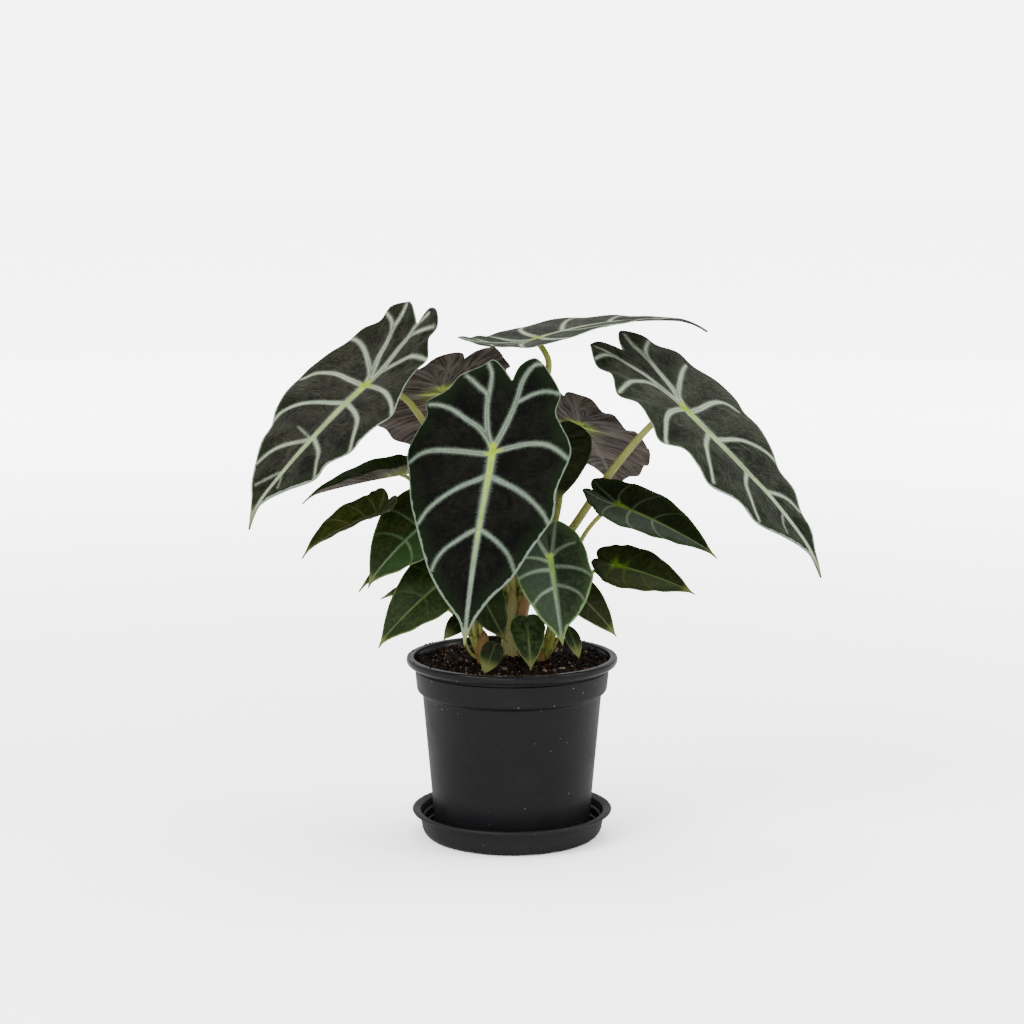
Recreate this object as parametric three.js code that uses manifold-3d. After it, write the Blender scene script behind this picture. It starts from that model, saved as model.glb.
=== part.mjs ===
// A potted black velvet alocasia: leaves, stalks, crowns and soil in a nursery pot on a saucer.
// Millimetres, +Z up. The origin is the middle of the saucer's underside, on the floor.
// The front of the plant looks along -Y.
import * as THREE from 'three';
import { mergeVertices } from 'three/addons/utils/BufferGeometryUtils.js';
import Module from 'manifold-3d';

const wasm = await Module();
wasm.setup();

// Driving dimensions
const GAP = 0.3; // between pieces that rest on or in each other
const STALK_GAP = 0.9; // between a stalk's top and the slightly curved blade over it
const ROUND = 36; // sides of the pot and the saucer

const POT_HEIGHT = 101;
const POT_LIP_RADIUS = 60;
const POT_BAND_RADIUS = 55.2; // under the lip
const POT_BAND_FOOT_RADIUS = 54.1;
const POT_BAND_HEIGHT = 14; // tall smooth band under the lip
const POT_WALL_TOP_RADIUS = 51;
const POT_WALL_FOOT_RADIUS = 44.6;
const POT_EDGE_RADIUS = 8; // rounded bottom edge
const POT_WALL = 1.5;
const POT_LIP_WIDTH = 4; // flat ring seen from above
const POT_NECK = 0.4; // how far the wall stands back between the band and the lip
const POT_NECK_HEIGHT = 2.2;
const DRAIN_HOLES = 6;
const DRAIN_HOLE_RADIUS = 4;
const DRAIN_CIRCLE_RADIUS = 26;

const SAUCER_HEIGHT = 16;
const SAUCER_RIM_RADIUS = 57.2;
const SAUCER_WALL_RADIUS = 52.8;
const SAUCER_BOTTOM_RADIUS = 47.4;
const SAUCER_FLOOR_TOP = 2.8;
const SAUCER_FLOOR_UNDER = 1.3;
const SAUCER_PAD_RADIUS = 14; // flat pad in the middle of the underside
const SAUCER_FOOT_INNER_RADIUS = 43;
const SAUCER_FOOT_GAPS = 6;
const SAUCER_FOOT_GAP_WIDTH = 6;

const POT_BOTTOM = SAUCER_FLOOR_TOP + GAP;
const POT_TOP = POT_BOTTOM + POT_HEIGHT;
const LIP_HEIGHT = 5.2;

const SOIL_TOP = 101;
const SOIL_MOUND = 0.8; // rise of the soil round the stems
const SOIL_MOUND_REACH = 24;
const SOIL_BUMP = 0.5;

const LARGE_BLADE = 0.9; // thickness
const SMALL_BLADE = 0.7;

// Materials
const plastic = new THREE.MeshStandardMaterial({ color: 0x26262a, roughness: 0.45, metalness: 0 });
const earth = new THREE.MeshStandardMaterial({ color: 0x2a1c14, roughness: 0.95, metalness: 0 });
const darkBlade = new THREE.MeshStandardMaterial({ color: 0x151a15, roughness: 0.8, metalness: 0 });
const youngBlade = new THREE.MeshStandardMaterial({ color: 0x24381f, roughness: 0.6, metalness: 0 });
const stalkGreen = new THREE.MeshStandardMaterial({ color: 0x8fa044, roughness: 0.5, metalness: 0 });
const crownGreen = new THREE.MeshStandardMaterial({ color: 0x8c8a4c, roughness: 0.6, metalness: 0 });

const plant = new THREE.Group();

function addMesh(name, geometry, material) {
  const mesh = new THREE.Mesh(geometry, material);
  mesh.name = name;
  plant.add(mesh);
  return mesh;
}

// Solids for joining and cutting
function toSolid(geometry) {
  const bare = geometry.clone();
  bare.deleteAttribute('normal');
  bare.deleteAttribute('uv');
  const merged = mergeVertices(bare, 1e-4);
  return new wasm.Manifold(new wasm.Mesh({
    numProp: 3,
    vertProperties: new Float32Array(merged.attributes.position.array),
    triVerts: new Uint32Array(merged.index.array),
  }));
}

function toGeometry(solid) {
  const mesh = solid.getMesh();
  const geometry = new THREE.BufferGeometry();
  geometry.setAttribute('position', new THREE.BufferAttribute(mesh.vertProperties, 3));
  geometry.setIndex(new THREE.BufferAttribute(mesh.triVerts, 1));
  geometry.computeVertexNormals();
  return geometry;
}

function turned(profile, sides = ROUND) {
  const points = profile.map(([radius, height]) => new THREE.Vector2(radius, height));
  return new THREE.LatheGeometry(points, sides).rotateX(Math.PI / 2);
}

function cylinder(radius, bottom, top, x = 0, y = 0, sides = 16) {
  const geometry = new THREE.CylinderGeometry(radius, radius, top - bottom, sides);
  return geometry.rotateX(Math.PI / 2).translate(x, y, (top + bottom) / 2);
}

// A smooth curve through the points, with its end points doubled; t runs from 0 to 1.
function curveAt(points, t) {
  const last = points.length - 1;
  const place = Math.min(Math.max(t, 0), 1) * last;
  const i = Math.min(Math.floor(place), last - 1);
  const w = place - i;
  const before = points[Math.max(i - 1, 0)];
  const from = points[i];
  const to = points[i + 1];
  const after = points[Math.min(i + 2, last)];
  return from.map((value, k) => {
    const leave = (to[k] - before[k]) / 2;
    const arrive = (after[k] - value) / 2;
    const cubic = 2 * value - 2 * to[k] + leave + arrive;
    const square = -3 * value + 3 * to[k] - 2 * leave - arrive;
    return cubic * w ** 3 + square * w ** 2 + leave * w + value;
  });
}

// Saucer: a thin dish with a rolled rim, a stepped inner wall and a foot ring cut by gaps.
function buildSaucer() {
  const rim = SAUCER_RIM_RADIUS;
  const wall = SAUCER_WALL_RADIUS;
  const bottom = SAUCER_BOTTOM_RADIUS;
  const top = SAUCER_HEIGHT;
  const profile = [
    [0, 0], [SAUCER_PAD_RADIUS, 0], [SAUCER_PAD_RADIUS + 1, SAUCER_FLOOR_UNDER],
    [SAUCER_FOOT_INNER_RADIUS, SAUCER_FLOOR_UNDER], [SAUCER_FOOT_INNER_RADIUS + 1, 0],
    [bottom, 0], [bottom + 2.4, 1.4], [wall - 1.4, 4.2], [wall, top - 3],
    [rim - 0.8, top - 2.2], [rim, top - 1.2], [rim - 0.6, top - 0.2], [rim - 1.8, top],
    [wall - 0.6, top - 1.2], [wall - 1.7, 10.6], [wall - 2.7, 10], [wall - 3.3, 6.2],
    [wall - 4.4, 5.6], [wall - 5.2, SAUCER_FLOOR_TOP], [0, SAUCER_FLOOR_TOP],
  ];
  let solid = toSolid(turned(profile));
  const ringMiddle = (SAUCER_FOOT_INNER_RADIUS + bottom) / 2;
  for (let i = 0; i < SAUCER_FOOT_GAPS; i += 1) {
    const angle = ((i + 0.5) * 2 * Math.PI) / SAUCER_FOOT_GAPS + Math.PI / 2;
    const notch = new THREE.BoxGeometry(9, SAUCER_FOOT_GAP_WIDTH, 2 * (SAUCER_FLOOR_UNDER - 0.2));
    notch.translate(ringMiddle + 1, 0, 0).rotateZ(angle);
    solid = solid.subtract(toSolid(notch));
  }
  return toGeometry(solid);
}

// Heights and radii of the pot's inside, used by its wall and by the soil that fills it.
const STEP_HEIGHT = POT_TOP - LIP_HEIGHT - POT_BAND_HEIGHT;
const BAND_TOP = POT_TOP - LIP_HEIGHT - POT_NECK_HEIGHT;
const LIP_INNER_RADIUS = POT_LIP_RADIUS - POT_LIP_WIDTH;
const INNER_WALL = [
  [POT_WALL_FOOT_RADIUS - 6.4, POT_BOTTOM + POT_WALL],
  [POT_WALL_FOOT_RADIUS - 3, POT_BOTTOM + 3.6],
  [POT_WALL_FOOT_RADIUS - POT_WALL, POT_BOTTOM + POT_EDGE_RADIUS],
  [POT_WALL_TOP_RADIUS - POT_WALL, STEP_HEIGHT - 2],
  [POT_BAND_FOOT_RADIUS - POT_WALL, STEP_HEIGHT + 1.6],
  [POT_BAND_RADIUS - POT_WALL, BAND_TOP + 1.2],
  [LIP_INNER_RADIUS - 1.4, POT_TOP - 4.5],
  [LIP_INNER_RADIUS - 0.6, POT_TOP - 2.4],
];

// Pot: a thin wall with a rolled lip, a narrow neck, a tall band, a step, a taper and drain holes.
function buildPot() {
  const edge = POT_EDGE_RADIUS;
  const profile = [[0, POT_BOTTOM], [POT_WALL_FOOT_RADIUS - edge, POT_BOTTOM]];
  const edgeSteps = 3;
  for (let i = 1; i <= edgeSteps; i += 1) {
    const angle = (i / edgeSteps) * (Math.PI / 2);
    profile.push([
      POT_WALL_FOOT_RADIUS - edge + edge * Math.sin(angle),
      POT_BOTTOM + edge * (1 - Math.cos(angle)),
    ]);
  }
  profile.push(
    [POT_WALL_TOP_RADIUS, STEP_HEIGHT - 2], [POT_BAND_FOOT_RADIUS - 0.8, STEP_HEIGHT - 0.6],
    [POT_BAND_FOOT_RADIUS, STEP_HEIGHT + 0.6], [POT_BAND_RADIUS, BAND_TOP],
    [POT_BAND_RADIUS - POT_NECK, BAND_TOP + 0.5], [POT_BAND_RADIUS - POT_NECK, POT_TOP - LIP_HEIGHT],
    [POT_LIP_RADIUS - 1.6, POT_TOP - LIP_HEIGHT + 0.4], [POT_LIP_RADIUS, POT_TOP - 3.2],
    [POT_LIP_RADIUS - 0.2, POT_TOP - 1.2], [POT_LIP_RADIUS - 1.2, POT_TOP],
    [LIP_INNER_RADIUS + 0.4, POT_TOP - 0.1], [LIP_INNER_RADIUS, POT_TOP - 0.8],
  );
  profile.push(...[...INNER_WALL].reverse(), [0, POT_BOTTOM + POT_WALL]);
  let solid = toSolid(turned(profile));
  for (let i = 0; i < DRAIN_HOLES; i += 1) {
    const angle = (i * 2 * Math.PI) / DRAIN_HOLES;
    const x = DRAIN_CIRCLE_RADIUS * Math.cos(angle);
    const y = DRAIN_CIRCLE_RADIUS * Math.sin(angle);
    const drill = cylinder(DRAIN_HOLE_RADIUS, POT_BOTTOM - 2, POT_BOTTOM + 3, x, y, 12);
    solid = solid.subtract(toSolid(drill));
  }
  return toGeometry(solid);
}

// Crowns: where the stalks come out of the soil. Each stands in a plain round hole.
const CROWNS = {
  main: { centre: [-1, 8], radius: 8.4, depth: 16 },
  left: { centre: [-15, -6], radius: 5.2, depth: 14 },
  right: { centre: [16.5, -1], radius: 4.8, depth: 14 },
};
const COLLAR = 1.5; // height above the soil's edge at which the stalks start to lean
const FLARE = 1.25; // how much wider a stalk is at its foot than at its fork

function soilHeight(x, y) {
  const reach = (x * x + y * y) / (SOIL_MOUND_REACH * SOIL_MOUND_REACH);
  const bumps = Math.sin(0.31 * x + 1.3) * Math.cos(0.27 * y) + Math.sin(0.19 * x * 1.7 - 0.41 * y);
  return SOIL_TOP + SOIL_MOUND * Math.exp(-reach) + SOIL_BUMP * bumps;
}

// Soil: fills the pot up to just under the lip, with a low mound and a hole for each crown.
function buildSoil() {
  const side = INNER_WALL.map(([radius, height]) => [radius - GAP, height + GAP]);
  const under = side.filter(([, height]) => height < SOIL_TOP - 2);
  const topRadius = LIP_INNER_RADIUS - 1.8;
  const topRings = [topRadius, 40, 26, 12];
  const rings = [
    ...under.map(([radius, height]) => ({ radius, height: () => height })),
    ...topRings.map((radius) => ({ radius, height: soilHeight })),
  ];
  const points = [[0, 0, under[0][1]]];
  for (const ring of rings) {
    for (let k = 0; k < ROUND; k += 1) {
      const angle = (k * 2 * Math.PI) / ROUND;
      const x = ring.radius * Math.cos(angle);
      const y = ring.radius * Math.sin(angle);
      points.push([x, y, ring.height(x, y)]);
    }
  }
  points.push([0, 0, soilHeight(0, 0)]);
  const top = points.length - 1;
  const faces = [];
  for (let k = 0; k < ROUND; k += 1) {
    const next = (k + 1) % ROUND;
    faces.push([0, 1 + next, 1 + k]);
    for (let r = 0; r < rings.length - 1; r += 1) {
      const low = 1 + r * ROUND;
      const high = low + ROUND;
      faces.push([low + k, low + next, high + next], [low + k, high + next, high + k]);
    }
    const lastRing = 1 + (rings.length - 1) * ROUND;
    faces.push([lastRing + k, lastRing + next, top]);
  }
  let solid = toSolid(meshFrom(points, faces));
  for (const crown of Object.values(CROWNS)) {
    const bottom = SOIL_TOP - crown.depth - GAP;
    const [x, y] = crown.centre;
    solid = solid.subtract(toSolid(cylinder(crown.radius + GAP, bottom, POT_TOP + 10, x, y)));
  }
  return toGeometry(solid);
}

function meshFrom(points, faces) {
  const geometry = new THREE.BufferGeometry();
  geometry.setAttribute('position', new THREE.Float32BufferAttribute(points.flat(), 3));
  geometry.setIndex(faces.flat());
  geometry.computeVertexNormals();
  return geometry;
}

// The margin of half a leaf, from the tip round the lobe to the notch. Each row holds: share of the
// leaf's length in front of the stalk, share of the half width on a scalloped mature leaf, the same
// on a smooth young leaf, and which way the margin waves there.
const MARGIN = [
  [1.0, 0, 0, 0], [0.93, 0.035, 0.055, 0], [0.86, 0.105, 0.17, 0], [0.755, 0.285, 0.35, 0.4],
  [0.64, 0.52, 0.53, -0.6], [0.53, 0.63, 0.66, 0.6], [0.4, 0.805, 0.81, -0.8],
  [0.3, 0.86, 0.895, 0.6], [0.2, 0.895, 0.955, 1.0], [0.09, 1.0, 0.99, -1.0],
  [-0.01, 0.965, 0.99, 0.2], [-0.105, 0.9, 0.965, 0.9], [-0.19, 0.86, 0.9, -0.9],
  [-0.275, 0.69, 0.8, 0.8], [-0.345, 0.59, 0.68, -0.7], [-0.41, 0.44, 0.52, 0.5],
  [-0.465, 0.285, 0.33, -0.5], [-0.445, 0.115, 0.14, 0], [-0.405, 0.035, 0.045, 0],
  [-0.365, 0, 0, 0],
];
// The leaves that show most have margins of their own, right and left as seen with the tip down.
// Their rows hold the share of the length, the share of the half width and the wave.
const ownMargin = (rows) => rows.map(([x, y, lift]) => [x, y, y, lift]);
const FRONT_RIGHT_MARGIN = ownMargin([
  [1.0, 0, 0], [0.93, 0.045, 0], [0.85, 0.135, 0], [0.745, 0.305, 0.4], [0.64, 0.52, -0.6],
  [0.51, 0.69, 0.6], [0.4, 0.815, -0.8], [0.325, 0.9, 0.6], [0.19, 0.875, 1.0], [0.05, 0.915, -1.0],
  [-0.01, 0.92, 0.2], [-0.07, 0.855, 0.9], [-0.13, 0.74, -0.6], [-0.21, 0.62, 0.4],
  [-0.3, 0.61, -0.5], [-0.37, 0.505, 0.5], [-0.46, 0.3, -0.5], [-0.485, 0.17, 0],
  [-0.44, 0.035, 0], [-0.365, 0, 0],
]);
const FRONT_LEFT_MARGIN = ownMargin([
  [1.0, 0, 0], [0.93, 0.03, 0], [0.86, 0.085, 0], [0.74, 0.315, 0.4], [0.64, 0.48, -0.6],
  [0.54, 0.58, 0.6], [0.4, 0.735, -0.8], [0.3, 0.825, 0.6], [0.17, 0.915, 1.0], [0.06, 1.025, -1.0],
  [-0.02, 1.0, 0.2], [-0.1, 0.94, 0.9], [-0.16, 0.92, -0.9], [-0.225, 0.95, 0.8],
  [-0.3, 0.755, -0.7], [-0.375, 0.64, 0.5], [-0.43, 0.43, -0.5], [-0.467, 0.29, 0],
  [-0.42, 0.13, 0], [-0.365, 0, 0],
]);
const LEFT_NEAR_MARGIN = ownMargin([
  [1.0, 0, 0], [0.93, 0.03, 0], [0.86, 0.1, 0], [0.75, 0.39, 0.4], [0.6, 0.7, -0.6],
  [0.49, 0.77, 0.6], [0.36, 0.87, -0.8], [0.27, 0.89, 0.2], [0.17, 0.89, 0.3], [0.06, 0.845, -1.0],
  [-0.03, 0.72, 0.4], [-0.1, 0.61, 0.9], [-0.18, 0.54, 0.4], [-0.26, 0.52, -0.9],
  [-0.33, 0.4, 0.6], [-0.4, 0.39, -0.6], [-0.455, 0.27, -0.2], [-0.455, 0.12, 0],
  [-0.42, 0.04, 0], [-0.365, 0, 0],
]);
const LEFT_FAR_MARGIN = ownMargin([
  [1.0, 0, 0], [0.935, 0.05, 0], [0.87, 0.13, 0], [0.79, 0.27, 0.4], [0.69, 0.45, -0.6],
  [0.57, 0.56, 0.6], [0.45, 0.69, -0.8], [0.36, 0.78, 0.6], [0.23, 0.89, 1.0], [0.09, 1.055, -1.0],
  [0.0, 1.04, 0.2], [-0.1, 0.985, 0.9], [-0.2, 0.96, -0.9], [-0.265, 0.79, 0.8],
  [-0.33, 0.665, -0.7], [-0.395, 0.555, 0.5], [-0.44, 0.37, -0.5], [-0.44, 0.25, 0],
  [-0.405, 0.12, 0], [-0.365, 0, 0],
]);
const RIGHT_FAR_MARGIN = ownMargin([
  [1.0, 0, 0], [0.95, 0.06, 0], [0.88, 0.14, 0], [0.79, 0.29, 0.4], [0.69, 0.42, -0.6],
  [0.58, 0.545, 0.6], [0.45, 0.68, -0.8], [0.34, 0.8, 0.6], [0.2, 0.95, 1.0], [0.06, 1.14, -1.0],
  [-0.03, 1.175, 0.2], [-0.13, 1.09, 0.9], [-0.24, 1.01, -0.9], [-0.305, 0.82, 0.8],
  [-0.37, 0.65, -0.7], [-0.42, 0.49, 0.5], [-0.475, 0.34, -0.5], [-0.47, 0.2, 0],
  [-0.42, 0.08, 0], [-0.365, 0, 0],
]);
const RIGHT_NEAR_MARGIN = ownMargin([
  [1.0, 0, 0], [0.93, 0.02, 0], [0.87, 0.08, 0], [0.77, 0.39, 0.4], [0.64, 0.67, -0.6],
  [0.51, 0.765, 0.6], [0.37, 0.935, -0.8], [0.27, 0.92, 0.6], [0.17, 0.9, 1.0], [0.065, 1.035, -1.0],
  [-0.02, 0.94, 0.2], [-0.12, 0.83, 0.9], [-0.205, 0.86, -0.9], [-0.285, 0.69, 0.8],
  [-0.355, 0.65, -0.7], [-0.44, 0.47, 0.5], [-0.46, 0.36, -0.4], [-0.455, 0.22, 0],
  [-0.42, 0.1, 0], [-0.365, 0, 0],
]);
const TOP_NEAR_MARGIN = ownMargin([
  [1.0, 0, 0], [0.93, 0.035, 0], [0.86, 0.1, 0], [0.755, 0.25, 0.4], [0.64, 0.43, -0.4],
  [0.53, 0.56, 0.4], [0.4, 0.69, -0.4], [0.3, 0.77, 0.4], [0.2, 0.83, 0.4], [0.09, 0.88, -0.4],
  [-0.01, 0.89, 0.2], [-0.105, 0.88, 0.4], [-0.19, 0.84, -0.4], [-0.275, 0.71, 0.4],
  [-0.345, 0.6, -0.4], [-0.41, 0.45, 0.3], [-0.465, 0.29, -0.3], [-0.445, 0.115, 0],
  [-0.405, 0.035, 0], [-0.365, 0, 0],
]);
const YOUNG_FRONT_MARGIN = ownMargin([
  [1.0, 0, 0], [0.93, 0.045, 0], [0.855, 0.11, 0], [0.785, 0.21, 0.2], [0.71, 0.42, -0.4],
  [0.64, 0.575, 0.2], [0.545, 0.74, -0.4], [0.46, 0.85, 0.2], [0.38, 0.93, 0.2], [0.27, 1.03, -0.4],
  [0.19, 0.995, 0.2], [0.11, 0.965, 0.4], [0.03, 0.965, -0.4], [-0.06, 0.93, 0.2],
  [-0.16, 0.87, -0.4], [-0.26, 0.78, 0.2], [-0.36, 0.6, -0.2], [-0.45, 0.33, 0], [-0.42, 0.1, 0],
  [-0.365, 0, 0],
]);
const EGG_MARGIN = ownMargin([
  [1.0, 0, 0], [0.95, 0.1, 0], [0.89, 0.24, 0], [0.82, 0.4, 0], [0.74, 0.57, 0], [0.66, 0.71, 0],
  [0.58, 0.82, 0], [0.5, 0.91, 0], [0.42, 0.97, 0], [0.34, 1.0, 0], [0.26, 1.0, 0], [0.18, 0.97, 0],
  [0.1, 0.9, 0], [0.03, 0.81, 0], [-0.1, 0.69, 0], [-0.23, 0.56, 0], [-0.34, 0.42, 0],
  [-0.42, 0.27, 0], [-0.42, 0.12, 0], [-0.365, 0, 0],
]);
const LOBE_SHARE = 0.465; // how far the lobe tips lie behind the stalk in the rows above
const NOTCH_SHARE = 0.365;
const TIP_HOOK_START = 0.8;
const KEEL = 0.06; // share of the half width over which the fold along the midrib is rounded

const PLAIN_LEAF = {
  arch: 0, fold: 0, cup: 0, wave: 0, hook: 0, lobeDrop: 0, twist: 0, scallop: 1, bend: 0, skew: 0,
  rake: 0, spread: 0, rightMargin: MARGIN, leftMargin: MARGIN,
};

// Leaves. junction is where the stalk meets the blade, tip is the drawn-out point, facing is the
// azimuth from the front and the elevation of the upper face, in degrees. halfWidth and lobe size
// the outline. The other values bend it: arch and hook of the midrib, fold of the halves, cup and
// wave of the margin, drop and spread of the lobes, twist in degrees, and the sideways bend, skew
// and rake of the blade. stalk goes from the crown's fork to the blade, and its radii are at both
// ends.
const LEAVES = [
  {
    name: 'left_large', size: 'large', crown: 'main',
    junction: [-80.5, -10, 259.5], tip: [-143.5, -50, 183.5], facing: [-41, 42], halfWidth: 45, lobe: 58,
    arch: 7.5, fold: 5, cup: -1, wave: 1.8, hook: 5, lobeDrop: -4, rake: 6, skew: -0.08,
    rightMargin: LEFT_NEAR_MARGIN, leftMargin: LEFT_FAR_MARGIN,
    stalk: [[-2.8, 8, 140], [-20, 9, 185], [-38, 7, 219], [-49.5, 5, 237], [-62, 2, 252]],
    radii: [2.7, 1.6],
  },
  {
    name: 'front_large', size: 'large', crown: 'main',
    junction: [-10.5, -38, 226.5], tip: [-26, -58, 120], facing: [-14, 13], halfWidth: 47, lobe: 50,
    arch: 5, cup: -2, wave: 1.5, hook: 1, lobeDrop: 2, bend: -2.4, skew: 0.07, rake: -1,
    rightMargin: FRONT_RIGHT_MARGIN, leftMargin: FRONT_LEFT_MARGIN,
    stalk: [[0.1, 3, 140], [-5, -5, 180], [-9, -20, 213]],
    radii: [2.7, 1.7],
  },
  {
    name: 'top_large', size: 'large', crown: 'main',
    junction: [13.5, 6, 283.5], tip: [113, 44, 284.5], facing: [5, 89], halfWidth: 39, lobe: 43,
    arch: 5.5, fold: 5, cup: -1, wave: 0.8, hook: 5.5, lobeDrop: -1, twist: -4,
    leftMargin: TOP_NEAR_MARGIN,
    stalk: [[3, 8, 142], [2, 5.5, 190], [7, -1, 228], [16.5, -3, 254], [20.5, 0, 271]],
    radii: [2.6, 1.6],
  },
  {
    name: 'right_large', size: 'large', crown: 'main',
    junction: [95.5, -6, 246.5], tip: [169.5, -47, 156.5], facing: [50, 42], halfWidth: 42, lobe: 62,
    arch: 5.5, fold: 5, cup: -2, wave: 1.8, hook: 4, lobeDrop: 13, rake: 7, spread: 0.35, bend: -2,
    rightMargin: RIGHT_FAR_MARGIN, leftMargin: RIGHT_NEAR_MARGIN,
    stalk: [[8.8, 8, 140], [34.5, 6, 176.5], [56, 5, 208.5], [79.5, 3, 236.5]],
    radii: [2.7, 1.7],
  },
  {
    name: 'back_left', size: 'large', crown: 'main',
    junction: [-40, 26, 252], tip: [-47.5, 84, 203.5], facing: [-160, 41], halfWidth: 40, lobe: 41,
    arch: 3, fold: 4, wave: 1.5, lobeDrop: 2, bend: 4,
    stalk: [[0.1, 13, 140], [-13, 18, 190], [-31, 18, 236]],
    radii: [2.7, 1.7],
  },
  {
    name: 'back_right', size: 'large', crown: 'main',
    junction: [39.5, 32, 232], tip: [64, 100, 183.5], facing: [136, 56], halfWidth: 42, lobe: 45,
    arch: 3, wave: 2,
    stalk: [[5.9, 13, 140], [16, 19, 188], [31, 25, 220]],
    radii: [2.7, 1.7],
  },
  {
    name: 'inner_right', size: 'medium', crown: 'main',
    junction: [25.5, 10, 226], tip: [25, 2, 190], facing: [10, 20], halfWidth: 20, lobe: 11,
    arch: 2, fold: 3, wave: 0.5, scallop: 0,
    stalk: [[5.9, 3, 140], [20, 5, 168], [26.5, 8, 190], [28, 13, 213]],
    radii: [2.5, 1.4],
  },
  {
    name: 'left_narrow', size: 'medium', crown: 'left',
    junction: [-62, 2, 207.5], tip: [-118, -6, 191.5], facing: [0, 84], halfWidth: 17, lobe: 13,
    arch: 1, fold: 32, wave: 0.5, scallop: 0.3, hook: 4,
    stalk: [[-17.3, -2, 117], [-27, 9, 156], [-42, 13, 188], [-57, 9, 203]],
    radii: [1.5, 1.1],
  },
  {
    name: 'left_curled', size: 'medium', crown: 'left',
    junction: [-76.5, -9, 186.5], tip: [-116.5, -31, 164.5], facing: [-45, 50], halfWidth: 16, lobe: 13,
    arch: 2, fold: 24, wave: 0.5, scallop: 0.3, hook: 3, lobeDrop: -6, spread: 0.5,
    stalk: [[-21, -2.2, 117], [-36, 15, 150], [-54, 20, 174], [-74, 6, 188]],
    radii: [1.4, 1.1],
  },
  {
    name: 'left_middle', size: 'medium', crown: 'left',
    junction: [-47, -12, 183], tip: [-80.5, -22, 146.5], facing: [-30, 35], halfWidth: 26, lobe: 24,
    arch: 3, fold: 10, wave: 0.5, scallop: 0.3, hook: 2,
    stalk: [[-19.6, -5.8, 117], [-26, -3, 146], [-30, -2, 163], [-37, -4, 175]],
    radii: [1.5, 1.1],
  },
  {
    name: 'left_under', size: 'medium', crown: 'left',
    junction: [-46.5, 5, 159.5], tip: [-87, -1, 140.5], facing: [-10, 80], halfWidth: 18, lobe: 14,
    arch: 1, fold: 30, wave: 0.5, scallop: 0.3, hook: 3,
    stalk: [[-23.6, -4.2, 117], [-30, 2, 136], [-40, 5, 150]],
    radii: [1.3, 1],
  },
  {
    name: 'left_low', size: 'medium', crown: 'left',
    junction: [-34.5, -24, 154], tip: [-74.5, -34, 114.5], facing: [-25, 35], halfWidth: 22, lobe: 18,
    arch: 3, fold: 8, wave: 0.5, scallop: 0.3, hook: 2,
    stalk: [[-20.6, -9.4, 117], [-23, -10, 130], [-33, -12, 146]],
    radii: [1.4, 1.1],
  },
  {
    name: 'left_hidden', size: 'small', crown: 'left',
    junction: [-52.5, 6, 140.5], tip: [-75, 6, 135.5], facing: [-20, 80], halfWidth: 10, lobe: 8,
    arch: 1, fold: 20, scallop: 0,
    stalk: [[-20.4, -2, 109], [-30, 3, 124], [-42, 6, 134]],
    radii: [1, 0.9],
  },
  {
    name: 'left_tiny', size: 'small', crown: 'left',
    junction: [-29, -6, 124.5], tip: [-39, -10, 114.5], facing: [-20, 30], halfWidth: 6.5, lobe: 5,
    arch: 1, fold: 6, scallop: 0,
    stalk: [[-23.6, -7, 107], [-27, -6, 115]],
    radii: [0.9, 0.8],
  },
  {
    name: 'front_lower', size: 'small', crown: 'left',
    junction: [-19, -16, 145.5], tip: [-2.5, -20, 114.5], facing: [-10, 25], halfWidth: 13, lobe: 10,
    arch: 2, fold: 6, scallop: 0.6,
    stalk: [[-16.8, -9.8, 115], [-18.5, -11.5, 131]],
    radii: [1.2, 0.9],
  },
  {
    name: 'front_tiny', size: 'small', crown: 'left',
    junction: [-9.5, -40, 118], tip: [-15.5, -45, 102.5], facing: [10, 20], halfWidth: 6.5, lobe: 2,
    arch: 1, fold: 6, rightMargin: EGG_MARGIN, leftMargin: EGG_MARGIN,
    stalk: [[-13.5, -11.6, 108], [-12, -24, 115]],
    radii: [0.9, 0.8],
  },
  {
    name: 'right_medium', size: 'medium', crown: 'right',
    junction: [60, -14, 192], tip: [113.5, -36, 165.5], facing: [20, 54], halfWidth: 20, lobe: 22,
    arch: 2, fold: 12, wave: 0.5, scallop: 0.2, hook: 2, lobeDrop: -2, rake: 5,
    stalk: [[19.6, -1, 114], [28, -3, 144], [39.5, -5, 172], [51, -9, 187]],
    radii: [1.5, 1.2],
  },
  {
    name: 'right_small', size: 'medium', crown: 'right',
    junction: [58.5, -16, 158.5], tip: [102, -28, 144], facing: [5, 48], halfWidth: 16, lobe: 14,
    arch: 2, fold: 7, wave: 0.5, scallop: 0, hook: 1, lobeDrop: -1, rake: 4,
    stalk: [[22.4, -3.6, 112], [30, -8, 136], [45, -13, 154]],
    radii: [1.3, 1],
  },
  {
    name: 'front_medium', size: 'medium', crown: 'right',
    junction: [21, -34, 166.5], tip: [28, -46, 118], facing: [5, 22], halfWidth: 21.5, lobe: 20,
    arch: 3, fold: 4, wave: 0.5, scallop: 0.2, rightMargin: YOUNG_FRONT_MARGIN,
    stalk: [[17, -4.4, 114], [18, -13, 142], [20.5, -25, 160]],
    radii: [1.4, 1.1],
  },
  {
    name: 'right_low', size: 'small', crown: 'right',
    junction: [35, -22, 144.5], tip: [58.5, -26, 119.5], facing: [25, 35], halfWidth: 12.5, lobe: 10,
    arch: 2, fold: 6, scallop: 0,
    stalk: [[20.6, -6.6, 110], [26, -13, 130]],
    radii: [1.1, 0.9],
  },
  {
    name: 'right_tiny', size: 'small', crown: 'right',
    junction: [32, -22, 122.5], tip: [37.5, -28, 107.5], facing: [20, 20], halfWidth: 4.5, lobe: 3,
    arch: 1, fold: 6, rightMargin: EGG_MARGIN, leftMargin: EGG_MARGIN,
    stalk: [[22.4, -8.4, 108], [27, -15, 118]],
    radii: [0.9, 0.8],
  },
  {
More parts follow.
